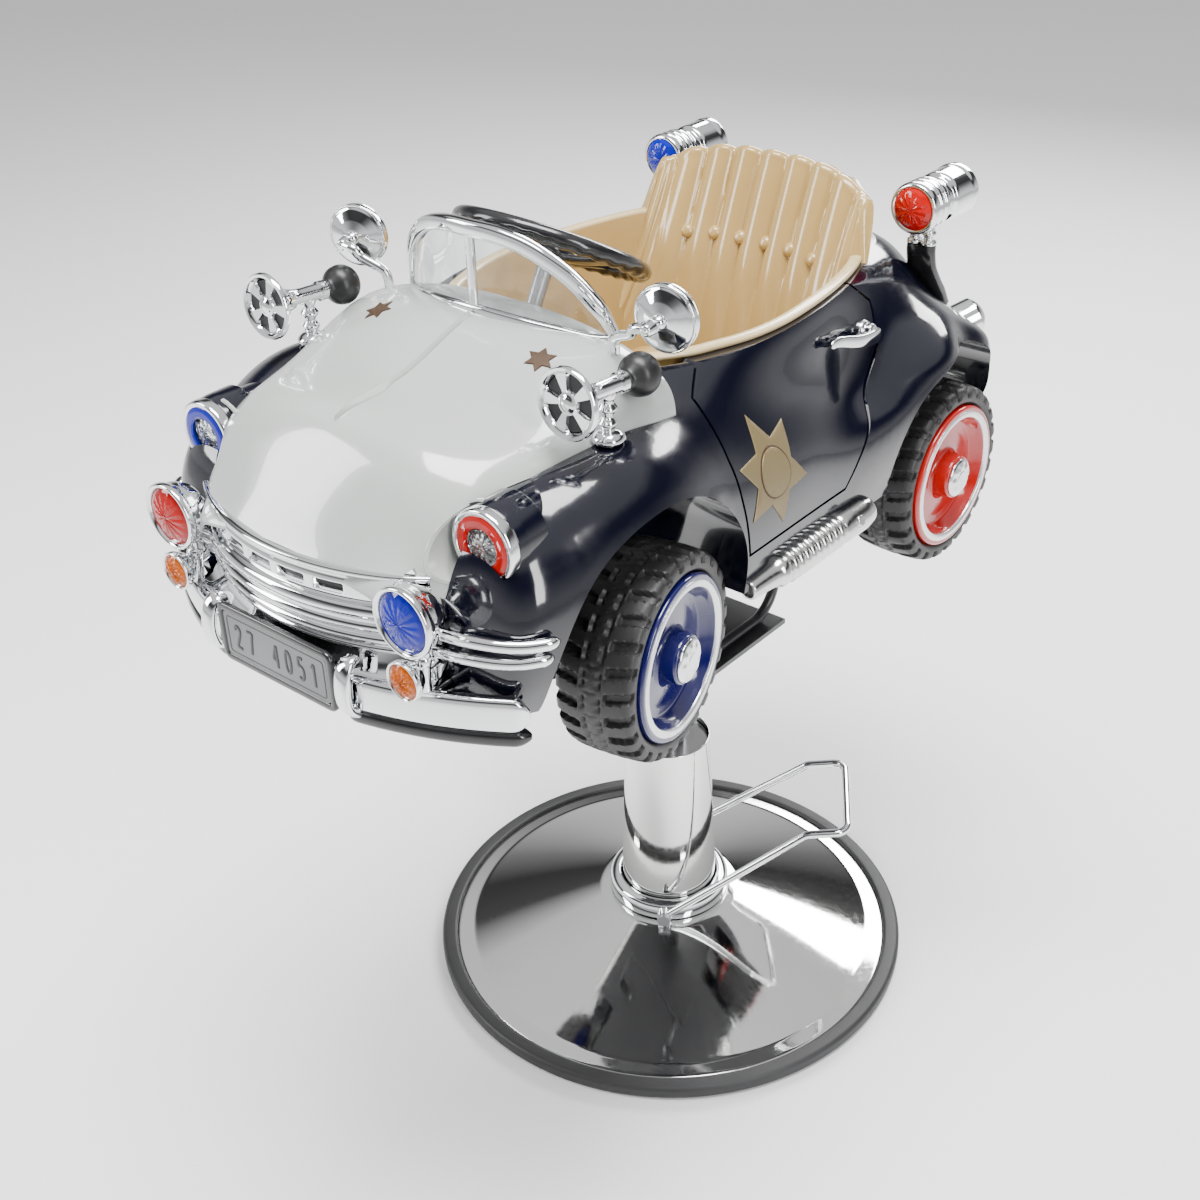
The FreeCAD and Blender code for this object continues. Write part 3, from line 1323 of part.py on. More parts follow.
def screen_prism(border):
    points = screen_outline(border)
    face = Part.Face(Part.makePolygon(points + points[:1]))
    reach = mm("screen_radius") * 2
    face.translate(V(0, -reach, 0))
    return face.extrude(V(0, reach, 0))


def screen_shell(start, depth):
    """A slice of the upright cylinder that the windshield follows."""
    radius = mm("screen_radius") - start
    centre = V(0, mm("screen_front") + mm("screen_radius"), mm("screen_foot_height") - mm("overrun"))
    high = mm("screen_rise") + mm("overrun") * 2
    return Part.makeCylinder(radius, high, centre).cut(Part.makeCylinder(radius - depth, high, centre))


def make_windshield():
    low = hood_solid(-mm("fit_gap"), 0)
    depth, band = mm("screen_depth"), mm("screen_band")
    frame = screen_prism(0).common(screen_shell(0, depth))
    half = mm("screen_divider_half_width")
    wide = mm("screen_half_width") * 2
    panes = screen_prism(band).cut(box(-half, half, -wide * 2, wide * 2, 0, wide * 8))
    frame = frame.cut([panes, low])
    feature("windshield_frame", sorted(frame.Solids, key=lambda s: -s.Volume)[0])
    gap = mm("fit_gap")
    start = (depth - mm("glass_gauge")) / 2
    glass = screen_prism(band + gap).cut(box(-half - gap, half + gap, -wide * 2, wide * 2, 0, wide * 8))
    glass = glass.common(screen_shell(start, mm("glass_gauge")))
    feature("windshield_glass", Part.makeCompound(glass.cut(low).Solids))


# Nose


def make_grille(skin):
    radius = mm("grille_arc_radius")
    centre_y = mm("grille_front") + mm("grille_arc_radius") + mm("cover_flat_rise") * 2
    low, high = mm("grille_foot"), mm("grille_top")
    half = mm("grille_half_angle")
    step = (high - low) / 7

    def rib(z0, z1, bulge):
        middle = (z0 + z1) / 2
        start, stop = V(radius + step / 3, 0, z0), V(radius + step / 3, 0, z1)
        return Part.Arc(start, V(radius + bulge, 0, middle), stop).toShape()
    heights = [low, low + step, low + step * 2, low + step * 3, low + step * 5, high]
    bulges = [step * 0.75, step * 0.75, step * 0.75, step * 1.5, step * 0.7]
    ribs = [rib(a, b, bulge) for a, b, bulge in zip(heights, heights[1:], bulges)]
    corners = [V(radius + step / 3, 0, high), V(radius, 0, high), V(radius, 0, low), V(radius + step / 3, 0, low)]
    sides = [Part.LineSegment(a, b).toShape() for a, b in zip(corners, corners[1:])]
    face = Part.Face(Part.Wire(ribs + sides))
    face.rotate(V(0, 0, 0), V(0, 0, 1), -90 - half)
    mask = face.revolve(V(0, 0, 0), V(0, 0, 1), half * 2)
    mask.translate(V(0, centre_y, 0))
    slots = []
    slot_half = math.radians(mm("grille_slot_angle") / 2)
    for place in (-1.5, -0.5, 0.5, 1.5):
        angle = math.radians(place * mm("grille_slot_angle") * 1.35)
        deep = radius + step * 2
        wide = radius * math.tan(slot_half) * 2
        slot = box(-wide / 2, wide / 2, -deep, -radius + step, 0, mm("grille_slot_height"))
        slot.rotate(V(0, 0, 0), V(0, 0, 1), math.degrees(angle))
        slot.translate(V(0, centre_y, high - step - mm("grille_slot_height") / 2))
        slots.append(slot)
    mask = mask.cut(slots)

    bars = []
    for level, share in ((mm("trim_upper_height"), 1.0), (mm("trim_lower_height"), 0.97)):
        wide = mm("body_half_width") * share
        front = mm("body_front") - mm("trim_bar_radius") - mm("fit_gap")
        route = [V(wide * 0.55, front - mm("trim_bar_radius"), level), V(wide * 0.72, front, level),
                 V(wide * 0.87, front + mm("trim_bar_radius") * 2.4, level),
                 V(wide * 0.935, front + mm("trim_bar_radius") * 7.6, level)]
        bar = tube(route, mm("trim_bar_radius"), mm("trim_bar_radius") * 3)
        tip = Part.makeSphere(mm("trim_bar_radius"), route[-1])
        bars.append(bar.fuse(tip).removeSplitter())
    lamps = lamp_spaces()
    solids = [mask.cut([skin, hood_solid(-mm("fit_gap"), 0)] + lamps)]
    for bar in bars:
        for twin in on_both(bar):
            solids.append(twin.cut([skin, mask] + lamps))
    pieces = []
    for shape in solids:
        pieces += sorted(shape.Solids, key=lambda s: -s.Volume)[:1]
    feature("grille", Part.makeCompound(pieces))


def bumper_arc(depth, height, low, start, stop, round_share, bulge):
    """A rounded bar bent along the bumper's plan arc between two angles."""
    radius = mm("bumper_arc_radius")
    centre_y = mm("bumper_front") + radius
    inner, outer = radius - depth, radius
    lift = height * round_share
    points = [V(inner, 0, low), V(outer - bulge, 0, low), V(outer, 0, low + lift), V(outer, 0, low + height - lift),
              V(outer - bulge, 0, low + height), V(inner, 0, low + height)]
    face = Part.Face(Part.makePolygon(points + points[:1]))
    face.rotate(V(0, 0, 0), V(0, 0, 1), -90 + start)
    bar = face.revolve(V(0, 0, 0), V(0, 0, 1), stop - start)
    bar.translate(V(0, centre_y, 0))
    return bar


def make_bumper():
    low = mm("bumper_centre_height") - mm("bumper_blade_height") / 2
    start, stop = mm("bumper_inner_angle"), mm("bumper_outer_angle")
    depth = mm("bumper_blade_depth")
    blade = bumper_arc(depth, mm("bumper_blade_height"), low, start, stop, 0.25, depth / 2)
    stem = mm("lamp_stem_radius")
    bracket = box(mm("spot_x") - stem * 2, mm("spot_x") + stem, mm("spot_y") + stem * 2,
                  mm("body_front") - mm("fit_gap"), low, low + mm("bumper_blade_height"))
    blade = blade.fuse(bracket).removeSplitter()
    feature("bumper_blades", Part.makeCompound(on_both(blade)))
    lip_low = low - mm("fit_gap") - mm("bumper_lip_height")
    lip = bumper_arc(depth * 1.3, mm("bumper_lip_height"), lip_low, start, stop, 0.4, depth / 3)
    feature("bumper_lip", Part.makeCompound(on_both(lip)))

    wide, border = size("plate_sign_half_width"), size("plate_frame_border")
    foot, high = size("plate_sign_foot"), size("plate_sign_height")
    deep = size("plate_frame_depth")
    frame = padded("plate_frame", "XZ_Plane", [
        (-wide - border, foot - border), (wide + border, foot - border), (wide + border, foot + high + border),
        (-wide - border, foot + high + border)], deep, False)
    put(frame, y=size("plate_sign_front") + deep)
    sign = doc.addObject("Part::Box", "sign_plate")
    sign.setExpression("Length", (wide * 2).text)
    sign.setExpression("Width", "sizes.plate_sign_gauge")
    sign.setExpression("Height", high.text)
    put(sign, x=-wide, y=size("plate_sign_front") - size("plate_sign_gauge"), z=foot)
    return frame, sign


# Lamps


def lamp_shell(name, radius, depth, wall, lip):
    """A round housing about local Z, open at the top, with a rounded back."""
    back = radius * 0.45
    body = revolved(name, [
        (0, -depth), (back, -depth), (radius, -depth * 0.35, radius * 1.6), (radius, 0), (radius - lip, 0),
        (radius - lip, -wall), (radius - wall, -wall), (radius - wall, -depth * 0.35), (back - wall, -depth + wall),
        (0, -depth + wall)])
    return body


def lens(name, radius):
    """A domed disc about local Z, its flat back at zero."""
    gauge, dome = size("lens_gauge"), size("lens_dome")
    arc = Size((float(radius) ** 2 + float(dome) ** 2) / (2 * float(dome)),
               f"(({radius.text})^2 + ({dome.text})^2) / (2 * {dome.text})")
    return revolved(name, [(0, 0), (radius, 0), (radius, gauge, arc), (0, gauge + dome)])


FACING = dict(axis=V(1, 0, 0), angle=90)


def make_lamps():
    x, y, z = size("headlight_x"), size("headlight_y"), size("headlight_height")
    radius, rim, deep = size("headlight_radius"), size("headlight_bezel_width"), size("headlight_bezel_depth")
    bezel = revolved("bezel", [
        (radius - rim, -deep / 2), (radius, -deep / 2), (radius, deep / 4, rim * 1.4), (radius - rim, deep / 2)])
    both_sides("headlight_bezels", put(bezel, x, y, z, **FACING))
    gap, ring, gauge = size("fit_gap"), size("headlight_ring_width"), size("headlight_ring_gauge")
    outer = radius - rim - gap
    band = revolved("headlight_ring", [(outer - ring, 0), (outer, 0), (outer, gauge), (outer - ring, gauge)])
    put(band, x, y, z, **FACING)
    glass = lens("headlight_lens", outer - ring - gap)
    both_sides("headlight_lenses", put(glass, x, y, z, **FACING))

    sx, sy, sz = size("spot_x"), size("spot_y"), size("spot_height")
    spot_radius, spot_depth, wall = size("spot_radius"), size("spot_depth"), size("spot_wall")
    bowl = lamp_shell("spot_bowl", spot_radius, spot_depth, wall, spot_radius - size("spot_lens_radius") - gap)
    put(bowl, sx, sy, sz, **FACING)
    ax, ay, az = size("amber_x"), size("amber_y"), size("amber_height")
    cup = lamp_shell("amber_cup", size("amber_radius"), size("amber_depth"), wall,
                     size("amber_radius") - size("amber_lens_radius") - gap)
    put(cup, ax, ay, az, **FACING)
    stem_foot = mm("bumper_centre_height") + mm("bumper_blade_height") / 2 + mm("fit_gap")
    stem_y = mm("bumper_front") + mm("bumper_arc_radius") - math.sqrt(
        (mm("bumper_arc_radius") - mm("bumper_blade_depth") / 2) ** 2 - mm("spot_x") ** 2)
    stem_top = mm("spot_height") - mm("spot_radius") + mm("spot_wall")
    rod = cylinder(mm("lamp_stem_radius"), V(mm("spot_x"), stem_y, stem_foot), V(mm("spot_x"), stem_y, stem_top))
    stem = shape_object("lamp_stem", rod)
    joined = doc.addObject("Part::MultiFuse", "lamp_set")
    joined.Shapes = [bowl, cup, stem]
    both_sides("spot_housings", joined)
    spot_lens = put(lens("spot_lens", size("spot_lens_radius")), sx, sy + wall, sz, **FACING)
    amber = put(lens("amber_lens", size("amber_lens_radius")), ax, ay + wall, az, **FACING)
    both_sides("amber_lenses", amber)

    bx, by, bz = size("beacon_x"), size("beacon_front"), size("beacon_height")
    big, length = size("beacon_radius"), size("beacon_length")
    lens_radius = size("beacon_lens_radius")
    rib = big * 0.86
    pitch = length / 7
    barrel = revolved("beacon_barrel", [
        (0, -length), (rib * 0.6, -length), (big * 0.95, -length + pitch / 2), (big * 0.95, -length + pitch),
        (rib, -length + pitch * 1.2), (rib, -length + pitch * 2), (big, -length + pitch * 2.2),
        (big, -length + pitch * 3.2), (rib, -length + pitch * 3.4), (rib, -length + pitch * 4.4),
        (big * 1.04, -length + pitch * 4.7), (big * 1.04, -length + pitch * 5.7), (rib, -length + pitch * 6),
        (rib, 0), (lens_radius + gap, 0), (lens_radius + gap, -wall * 2), (0, -wall * 2)])
    put(barrel, bx, by, bz, **FACING)
    neck_top = mm("beacon_height") - mm("beacon_radius") * 0.7
    neck = cylinder(mm("beacon_neck_radius"), V(mm("beacon_x"), mm("beacon_post_y"), mm("beacon_stalk_top")),
                    V(mm("beacon_x"), mm("beacon_post_y"), neck_top))
    small = mm("beacon_neck_radius") / 2
    clamp = Part.makeTorus(small * 2, small,
                           V(mm("beacon_x"), mm("beacon_post_y"), mm("beacon_stalk_top") + small))
    joined = doc.addObject("Part::MultiFuse", "beacon_set")
    joined.Shapes = [barrel, shape_object("beacon_neck", neck.fuse(clamp))]
    both_sides("beacon_barrels", joined)
    beacon_lens = put(lens("beacon_lens", lens_radius), bx, by + wall * 2 - gap, bz, **FACING)

    group("red_lenses", [band, mirrored(spot_lens), beacon_lens])
    group("blue_lenses", [mirrored(band), spot_lens, mirrored(beacon_lens)])


def surface_height(outer, x, y):
    """Height of the car's skin above a point of the plan."""
    ray = Part.makeLine(V(x, y, mm("floor_height")), V(x, y, mm("back_height")))
    return max(v.Point.z for v in outer.common(ray).Vertexes)


def make_beacon_stalks(outer, skin):
    x, radius = mm("beacon_x"), mm("beacon_stalk_radius")
    foot_y = mm("beacon_foot_y")
    foot = surface_height(outer, x, foot_y)
    top = mm("beacon_stalk_top") - mm("fit_gap")
    bend = (foot + top) / 2
    rod = tube([V(x, mm("beacon_post_y"), top), V(x, mm("beacon_post_y"), bend), V(x, foot_y, foot - radius)],
               radius, radius * 1.5)
    pad = cylinder(radius * 1.7, V(x, foot_y, foot - radius), V(x, foot_y, foot + radius / 2))
    stalk = rod.fuse(pad).cut(skin)
    stalk = sorted(stalk.Solids, key=lambda s: -s.Volume)[0]
    feature("beacon_stalks", Part.makeCompound(on_both(stalk)))


# Horns, mirrors, pipes and small pieces


def make_horns(outer, skin):
    x, y, z = mm("horn_x"), mm("horn_front"), mm("horn_height")
    disc, pipe, bell = mm("horn_disc_radius"), mm("horn_tube_radius"), mm("horn_bell_length")
    wall = mm("mirror_gauge")
    length = mm("horn_length")
    flare = [(disc, 0), (disc, wall), (disc * 0.55, bell * 0.3), (pipe * 1.4, bell * 0.75), (pipe, bell),
             (pipe, length)]
    steps = [Part.makeCylinder(disc, wall)]
    for (wide, low), (narrow, high) in zip(flare[1:], flare[2:]):
        if wide > narrow:
            steps.append(Part.makeCone(wide, narrow, high - low, V(0, 0, low)))
        else:
            steps.append(Part.makeCylinder(wide, high - low, V(0, 0, low)))
    horn = steps[0].fuse(steps[1:])
    tilt = mm("horn_tilt")
    horn.rotate(V(0, 0, 0), V(1, 0, 0), -90 - tilt)
    horn.translate(V(x, y, z))
    base_y = mm("horn_base_y")
    top = z - (base_y - y) * math.tan(math.radians(tilt))
    foot = surface_height(outer, x, base_y)
    post_radius = mm("horn_post_radius")
    post = cylinder(post_radius * 0.6, V(x, base_y, foot - post_radius), V(x, base_y, top))
    beads = []
    for share in (0.3, 0.62, 0.86):
        beads.append(Part.makeSphere(post_radius, V(x, base_y, foot + share * (top - foot))))
    base = cylinder(mm("horn_foot_radius"), V(x, base_y, foot - post_radius), V(x, base_y, foot + post_radius / 2))
    whole = horn.fuse([post, base] + beads).removeSplitter().cut([skin, hood_solid(-mm("fit_gap"), 0)])
    whole = sorted(whole.Solids, key=lambda s: -s.Volume)[0]
    feature("horns", Part.makeCompound(on_both(whole)))

    radius, neck = mm("bulb_radius"), mm("bulb_neck_radius")
    profile = [V(neck, 0, 0), V(neck, 0, neck * 0.5), V(radius * 0.9, 0, neck * 1.4),
               V(radius, 0, neck * 1.4 + radius * 0.5), V(radius * 0.75, 0, neck * 1.4 + radius * 1.15),
               V(0, 0, neck * 1.4 + radius * 1.4)]
    closing = [profile[-1], V(0, 0, 0), profile[0]]
    sides = [Part.LineSegment(a, b).toShape() for a, b in zip(closing, closing[1:])]
    bulb = turned([smooth(profile)] + sides)
    bulb.translate(V(0, 0, length + mm("fit_gap")))
    bulb.rotate(V(0, 0, 0), V(1, 0, 0), -90 - tilt)
    bulb.translate(V(x, y, z))
    feature("horn_bulbs", Part.makeCompound(on_both(bulb)))


def mirror_stem(toe, skin):
    """The left arm for a dish that is toed outwards by an angle: foot, bent rod and tip."""
    x, y, z = mm("mirror_x"), mm("mirror_y"), mm("mirror_height")
    foot_x, stem = mm("mirror_foot_x"), mm("mirror_stem_radius")
    front = V(math.sin(toe), -math.cos(toe), 0)
    end = V(x, y, z) + front * (mm("mirror_ball_radius") + mm("fit_gap"))
    corner = end + front * stem * 2.2
    route = [V(foot_x, y, mm("mirror_foot_height") - stem), V(foot_x + stem, y - stem, mm("mirror_bend_height")),
             V(corner.x - stem * 2, corner.y, z), corner]
    rod = tube(route, stem, stem * 1.6)
    tip = cylinder(stem * 1.2, corner + front * stem, end)
    base = cylinder(mm("mirror_foot_radius"), V(foot_x, y, mm("mirror_foot_height") - stem * 2),
                    V(foot_x, y, mm("mirror_foot_height") + stem * 0.6))
    screen = screen_prism(0).common(screen_shell(-mm("fit_gap"), mm("screen_depth") * 1.2))
    whole = rod.fuse([tip, base]).removeSplitter().cut([skin, hood_solid(-mm("fit_gap"), 0), screen])
    return sorted(whole.Solids, key=lambda s: -s.Volume)[0]


def make_mirrors(skin):
    radius, deep, wall = mm("mirror_radius"), mm("mirror_depth"), mm("mirror_gauge")
    dome = [V(0, 0, 0), V(radius * 0.5, 0, deep * 0.16), V(radius * 0.85, 0, deep * 0.5), V(radius, 0, deep)]
    corners = [V(radius, 0, deep), V(radius - wall, 0, deep), V(radius - wall, 0, deep - wall),
               V(0, 0, deep - wall), V(0, 0, 0)]
    sides = [Part.LineSegment(a, b).toShape() for a, b in zip(corners, corners[1:])]
    head = turned([smooth(dome)] + sides)
    head = head.fuse(Part.makeSphere(mm("mirror_ball_radius"))).removeSplitter()
    head.rotate(V(0, 0, 0), V(1, 0, 0), -90)
    stems = []
    for side, name in ((1, "left"), (-1, "right")):
        toe = mm("mirror_toe_" + name)
        placed = head.copy()
        placed.rotate(V(0, 0, 0), V(0, 0, 1), side * toe)
        placed.translate(V(side * mm("mirror_x"), mm("mirror_y"), mm("mirror_height")))
        feature("mirror_" + name, placed)
        stem = mirror_stem(math.radians(toe), skin)
        stems.append(stem if side > 0 else stem.mirror(V(0, 0, 0), V(1, 0, 0)))
    feature("mirror_stems", Part.makeCompound(stems))


def make_exhausts(skin):
    x, z = mm("exhaust_x"), mm("exhaust_height")
    front, length = mm("exhaust_front"), mm("exhaust_length")
    small, big, pitch = mm("exhaust_radius"), mm("exhaust_rib_radius"), mm("exhaust_rib_pitch")
    ribs = 9
    start = length * 0.30
    corners = [V(0, 0, 0), V(small * 0.65, 0, 0), V(small, 0, small), V(small, 0, start)]
    for rib in range(ribs):
        at = start + rib * pitch
        corners += [V(big, 0, at + pitch * 0.15), V(big, 0, at + pitch * 0.65), V(small, 0, at + pitch * 0.8)]
    corners += [V(small, 0, length), V(0, 0, length)]
    pipe = turned(Part.makePolygon(corners + corners[:1]).Edges)
    pipe.rotate(V(0, 0, 0), V(1, 0, 0), -90)
    pipe.translate(V(x, front, z))
    pipe = sorted(pipe.cut(skin).Solids, key=lambda s: -s.Volume)[0]
    feature("exhaust_pipes", Part.makeCompound(on_both(pipe)))


def make_tail(skin):
    x, y, z = mm("tail_lamp_x"), mm("tail_lamp_y"), mm("tail_lamp_height")
    radius, deep = mm("tail_lamp_radius"), mm("tail_lamp_depth")
    dome = Part.makeSphere(radius * 1.25).common(Part.makeCylinder(radius, radius * 2, V(0, 0, -radius * 0.5)))
    dome.rotate(V(0, 0, 0), V(1, 0, 0), -70)
    dome.rotate(V(0, 0, 0), V(0, 0, 1), -35)
    dome.translate(V(x, y - deep / 2, z))
    lamp = sorted(dome.cut(skin).Solids, key=lambda s: -s.Volume)[0]
    feature("tail_lamps", Part.makeCompound(on_both(lamp)))


make_base()
make_column()
make_pedal()
make_lift()
car_form = make_body()
car_limit = car_skin()
make_doors(car_form, car_limit)
make_tub()
make_dashboard()
make_steering()
make_front_steering()
make_wheels()
make_windshield()
make_grille(car_limit)
number_frame, number_sign = make_bumper()
group("number_plate", [number_frame, number_sign])
make_lamps()
make_beacon_stalks(car_form, car_limit)
make_horns(car_form, car_limit)
make_mirrors(car_limit)
make_exhausts(car_limit)
make_tail(car_limit)

doc.recompute()
for obj in doc.Objects:
    if "Invalid" in obj.State or "Error" in obj.State:
        raise RuntimeError(f"{obj.Label} is {obj.State}")
faults = [n.Label for n in NODES if n.Shape.isNull() or not n.Shape.Solids or not n.Shape.isValid()]
if faults:
    raise RuntimeError(f"no valid shape: {faults}")
os.makedirs("parts", exist_ok=True)
for node in NODES:
    node.Shape.exportStep(f"parts/{node.Label}.step")
print(len(NODES), "nodes,", sum(len(n.Shape.Solids) for n in NODES), "solids")
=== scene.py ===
# %% [markdown]
# # A children's barber chair shaped like a small open patrol car
#
# The chair is a glossy moulded car on a hydraulic salon column.  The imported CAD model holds
# the sizes and the joints; this script dresses it.  Most pieces are surfaces worked out with
# numpy: a profile turned round an axis, or a section carried along a path.

# %% Load the frame
import math

import bmesh
import bpy
import numpy as np
from mathutils import Matrix, Vector
from mathutils.bvhtree import BVHTree


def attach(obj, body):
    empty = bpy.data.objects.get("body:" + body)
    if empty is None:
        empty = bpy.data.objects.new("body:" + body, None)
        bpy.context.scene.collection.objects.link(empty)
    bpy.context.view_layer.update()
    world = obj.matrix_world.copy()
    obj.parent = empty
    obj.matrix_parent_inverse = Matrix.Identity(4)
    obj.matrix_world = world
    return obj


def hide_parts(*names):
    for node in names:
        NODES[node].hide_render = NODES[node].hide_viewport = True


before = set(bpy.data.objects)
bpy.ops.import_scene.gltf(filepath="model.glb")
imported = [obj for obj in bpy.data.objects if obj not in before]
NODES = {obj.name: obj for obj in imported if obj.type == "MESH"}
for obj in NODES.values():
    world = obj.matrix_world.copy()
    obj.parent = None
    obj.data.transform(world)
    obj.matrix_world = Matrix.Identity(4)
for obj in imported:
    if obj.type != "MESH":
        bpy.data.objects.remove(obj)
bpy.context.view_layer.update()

# %% [markdown]
# ## Camera
#
# The camera stands where the photographer stood: in front of the car and to its left, a
# little above it.  Azimuth, elevation and roll are turned into the camera's three axes.

# %% Camera
CAMERA_AT = np.array([0.9904, -1.2638, 1.4805])
AZIMUTH, ELEVATION, ROLL = np.radians([40.854, 31.2705, -1.959])


def stand(name, data, across, up, behind, at):
    """Puts a camera or a lamp in the scene: its three axes and its place are the matrix's columns."""
    thing = bpy.data.objects.new(name, data)
    bpy.context.scene.collection.objects.link(thing)
    matrix = np.eye(4)
    matrix[:3] = np.stack([across, up, behind, at], 1)
    thing.matrix_world = Matrix([list(row) for row in matrix])
    return thing


back = np.array([math.sin(AZIMUTH) * math.cos(ELEVATION), -math.cos(AZIMUTH) * math.cos(ELEVATION),
                 math.sin(ELEVATION)])
right = np.cross(-back, [0, 0, 1])
right = right / np.linalg.norm(right)
over = np.cross(right, -back)
right, over = (math.cos(ROLL) * right + math.sin(ROLL) * over,
               -math.sin(ROLL) * right + math.cos(ROLL) * over)
camera_data = bpy.data.cameras.new("photo_camera")
camera_data.sensor_width = 36
camera_data.lens = 48.23
camera_data.clip_end = 50
bpy.context.scene.camera = stand("photo_camera", camera_data, right, over, back, CAMERA_AT)
print("camera looks along", -back)

# %% [markdown]
# ## Light and floor
#
# Chrome shows only what stands round it, so the room matters as much as the lamps.  A pale
# floor, four large soft panels and a sky that is bright overhead, dark in a broad band
# half way up and pale again lower down give it light and dark to reflect.

# %% Floor, panels and sky
bpy.ops.mesh.primitive_plane_add(size=14, location=(0, 0, -0.0005))
floor = bpy.context.object
floor.name = "studio_floor"
floor_finish = bpy.data.materials.new("studio_floor")
floor_finish.use_nodes = True
floor_shader = floor_finish.node_tree.nodes["Principled BSDF"]
floor_shader.inputs["Base Color"].default_value = (0.95, 0.95, 0.95, 1)
floor_shader.inputs["Roughness"].default_value = 0.65
floor.data.materials.append(floor_finish)


def soft_panel(name, at, toward, size, power):
    """A rectangular lamp that looks from one point to another."""
    data = bpy.data.lights.new(name, "AREA")
    data.shape = "RECTANGLE"
    data.size, data.size_y = size
    data.energy = power
    ahead = np.array(toward, float) - np.array(at, float)
    ahead /= np.linalg.norm(ahead)
    side = np.cross(ahead, [0, 0.001, 1.0])
    side /= np.linalg.norm(side)
    stand(name, data, side, np.cross(side, ahead), -ahead, at)


def node(tree, kind, **given):
    """A new node whose inputs are numbers, colours or other nodes' outputs, linked."""
    made = tree.nodes.new("ShaderNode" + kind)
    for name, value in given.items():
        socket = made.inputs[name.replace("_", " ")]
        if isinstance(value, bpy.types.NodeSocket):
            tree.links.new(value, socket)
        else:
            socket.default_value = value
    return made


soft_panel("overhead", (0.2, -0.4, 3.4), (0, 0, 0.7), (1.7, 1.2), 175)
soft_panel("front_left", (-2.6, -2.4, 2.2), (0, 0, 0.7), (1.0, 1.9), 96)
soft_panel("front_right", (2.9, -0.9, 1.9), (0, 0, 0.7), (0.6, 1.9), 62)
soft_panel("behind", (-0.6, 3.0, 2.4), (0, 0, 0.8), (2.4, 0.9), 150)

world = bpy.data.worlds.new("studio")
bpy.context.scene.world = world
world.use_nodes = True
sky = world.node_tree
sky.nodes.clear()
sky_split = node(sky, "SeparateXYZ", Vector=sky.nodes.new("ShaderNodeTexCoord").outputs["Generated"])
sky_ramp = node(sky, "ValToRGB", Fac=sky_split.outputs["Z"])
sky_shade = node(sky, "Background", Color=sky_ramp.outputs["Color"], Strength=0.95)
node(sky, "OutputWorld", Surface=sky_shade.outputs[0])
# Height from straight down (0) to straight up (1), and the grey there
SKY_BANDS = [(0, 0.95), (0.12, 0.62), (0.25, 0.22), (0.36, 0.05), (0.50, 0.08), (0.64, 0.80), (1, 1)]
while len(sky_ramp.color_ramp.elements) < len(SKY_BANDS):
    sky_ramp.color_ramp.elements.new(0.5)
for stop, (share, grey) in zip(sky_ramp.color_ramp.elements, SKY_BANDS):
    stop.position = share
    stop.color = (grey, grey, grey * 1.01, 1)
print("four panels and", len(SKY_BANDS), "bands of sky")

# %% [markdown]
# ## Finishes
#
# Every finish is built from nodes.  Noise at two scales varies the colour and the gloss the
# way handling and moulding do, and a fine bump breaks up the reflections.  Finishes read
# Object coordinates, so the pattern stays with the metal or the plastic.

# %% Node helpers
def new_finish(name):
    """A material with its shader and a texture coordinate node."""
    material = bpy.data.materials.new(name)
    material.use_nodes = True
    tree = material.node_tree
    shader = tree.nodes["Principled BSDF"]
    where = tree.nodes.new("ShaderNodeTexCoord")
    return material, tree, shader, where.outputs["Object"]


def noise(tree, where, scale, detail=3.0, stretch=None):
    """Noise of about 1/scale metres, stretched along an axis where asked."""
    if stretch is not None:
        where = node(tree, "Mapping", Vector=where, Scale=stretch).outputs[0]
    return node(tree, "TexNoise", Vector=where, Scale=scale, Detail=detail).outputs["Fac"]


def spread(tree, value, low, high):
    """Noise lies mostly between 0.3 and 0.7; this carries that range to another."""
    carried = node(tree, "MapRange", Value=value, From_Min=0.3, From_Max=0.7, To_Min=low, To_Max=high)
    return carried.outputs["Result"]


def blended(tree, share, first, second):
    """Mixes two colours by a share."""
    mix = tree.nodes.new("ShaderNodeMix")
    mix.data_type = "RGBA"
    tree.links.new(share, mix.inputs["Factor"])
    mix.inputs[6].default_value = (*first, 1)
    mix.inputs[7].default_value = (*second, 1)
    return mix.outputs[2]


def plain_finish(name, light, dark, gloss, metal, coat, grain, bump, patch=9, stretch=None):
    """Colour and roughness vary over broad patches, and a fine grain lifts the surface."""
    material, tree, shader, where = new_finish(name)
    broad = noise(tree, where, patch)
    fine = noise(tree, where, grain, 4.0, stretch)
    tree.links.new(blended(tree, spread(tree, broad, 0, 1), light, dark), shader.inputs["Base Color"])
    tree.links.new(spread(tree, fine, gloss[0], gloss[1]), shader.inputs["Roughness"])
    shader.inputs["Metallic"].default_value = metal
    shader.inputs["Coat Weight"].default_value = coat
    shader.inputs["Coat Roughness"].default_value = 0.03
    lifted = node(tree, "Bump", Strength=bump, Distance=0.0004, Height=fine)
    tree.links.new(lifted.outputs[0], shader.inputs["Normal"])
    return material


def clear_finish(name, tint, gloss, see_through):
    """Tinted clear plastic: light passes through, with a slightly uneven tint and surface."""
    material, tree, shader, where = new_finish(name)
    cloud = noise(tree, where, 60)
    dark = tuple(c * 0.8 for c in tint)
    tree.links.new(blended(tree, spread(tree, cloud, 0, 1), tint, dark), shader.inputs["Base Color"])
    tree.links.new(spread(tree, cloud, gloss, gloss * 1.6), shader.inputs["Roughness"])
    shader.inputs["Transmission Weight"].default_value = see_through
    shader.inputs["IOR"].default_value = 1.46
    return material


# %% [markdown]
# The finishes themselves, each named for what it covers on the chair.

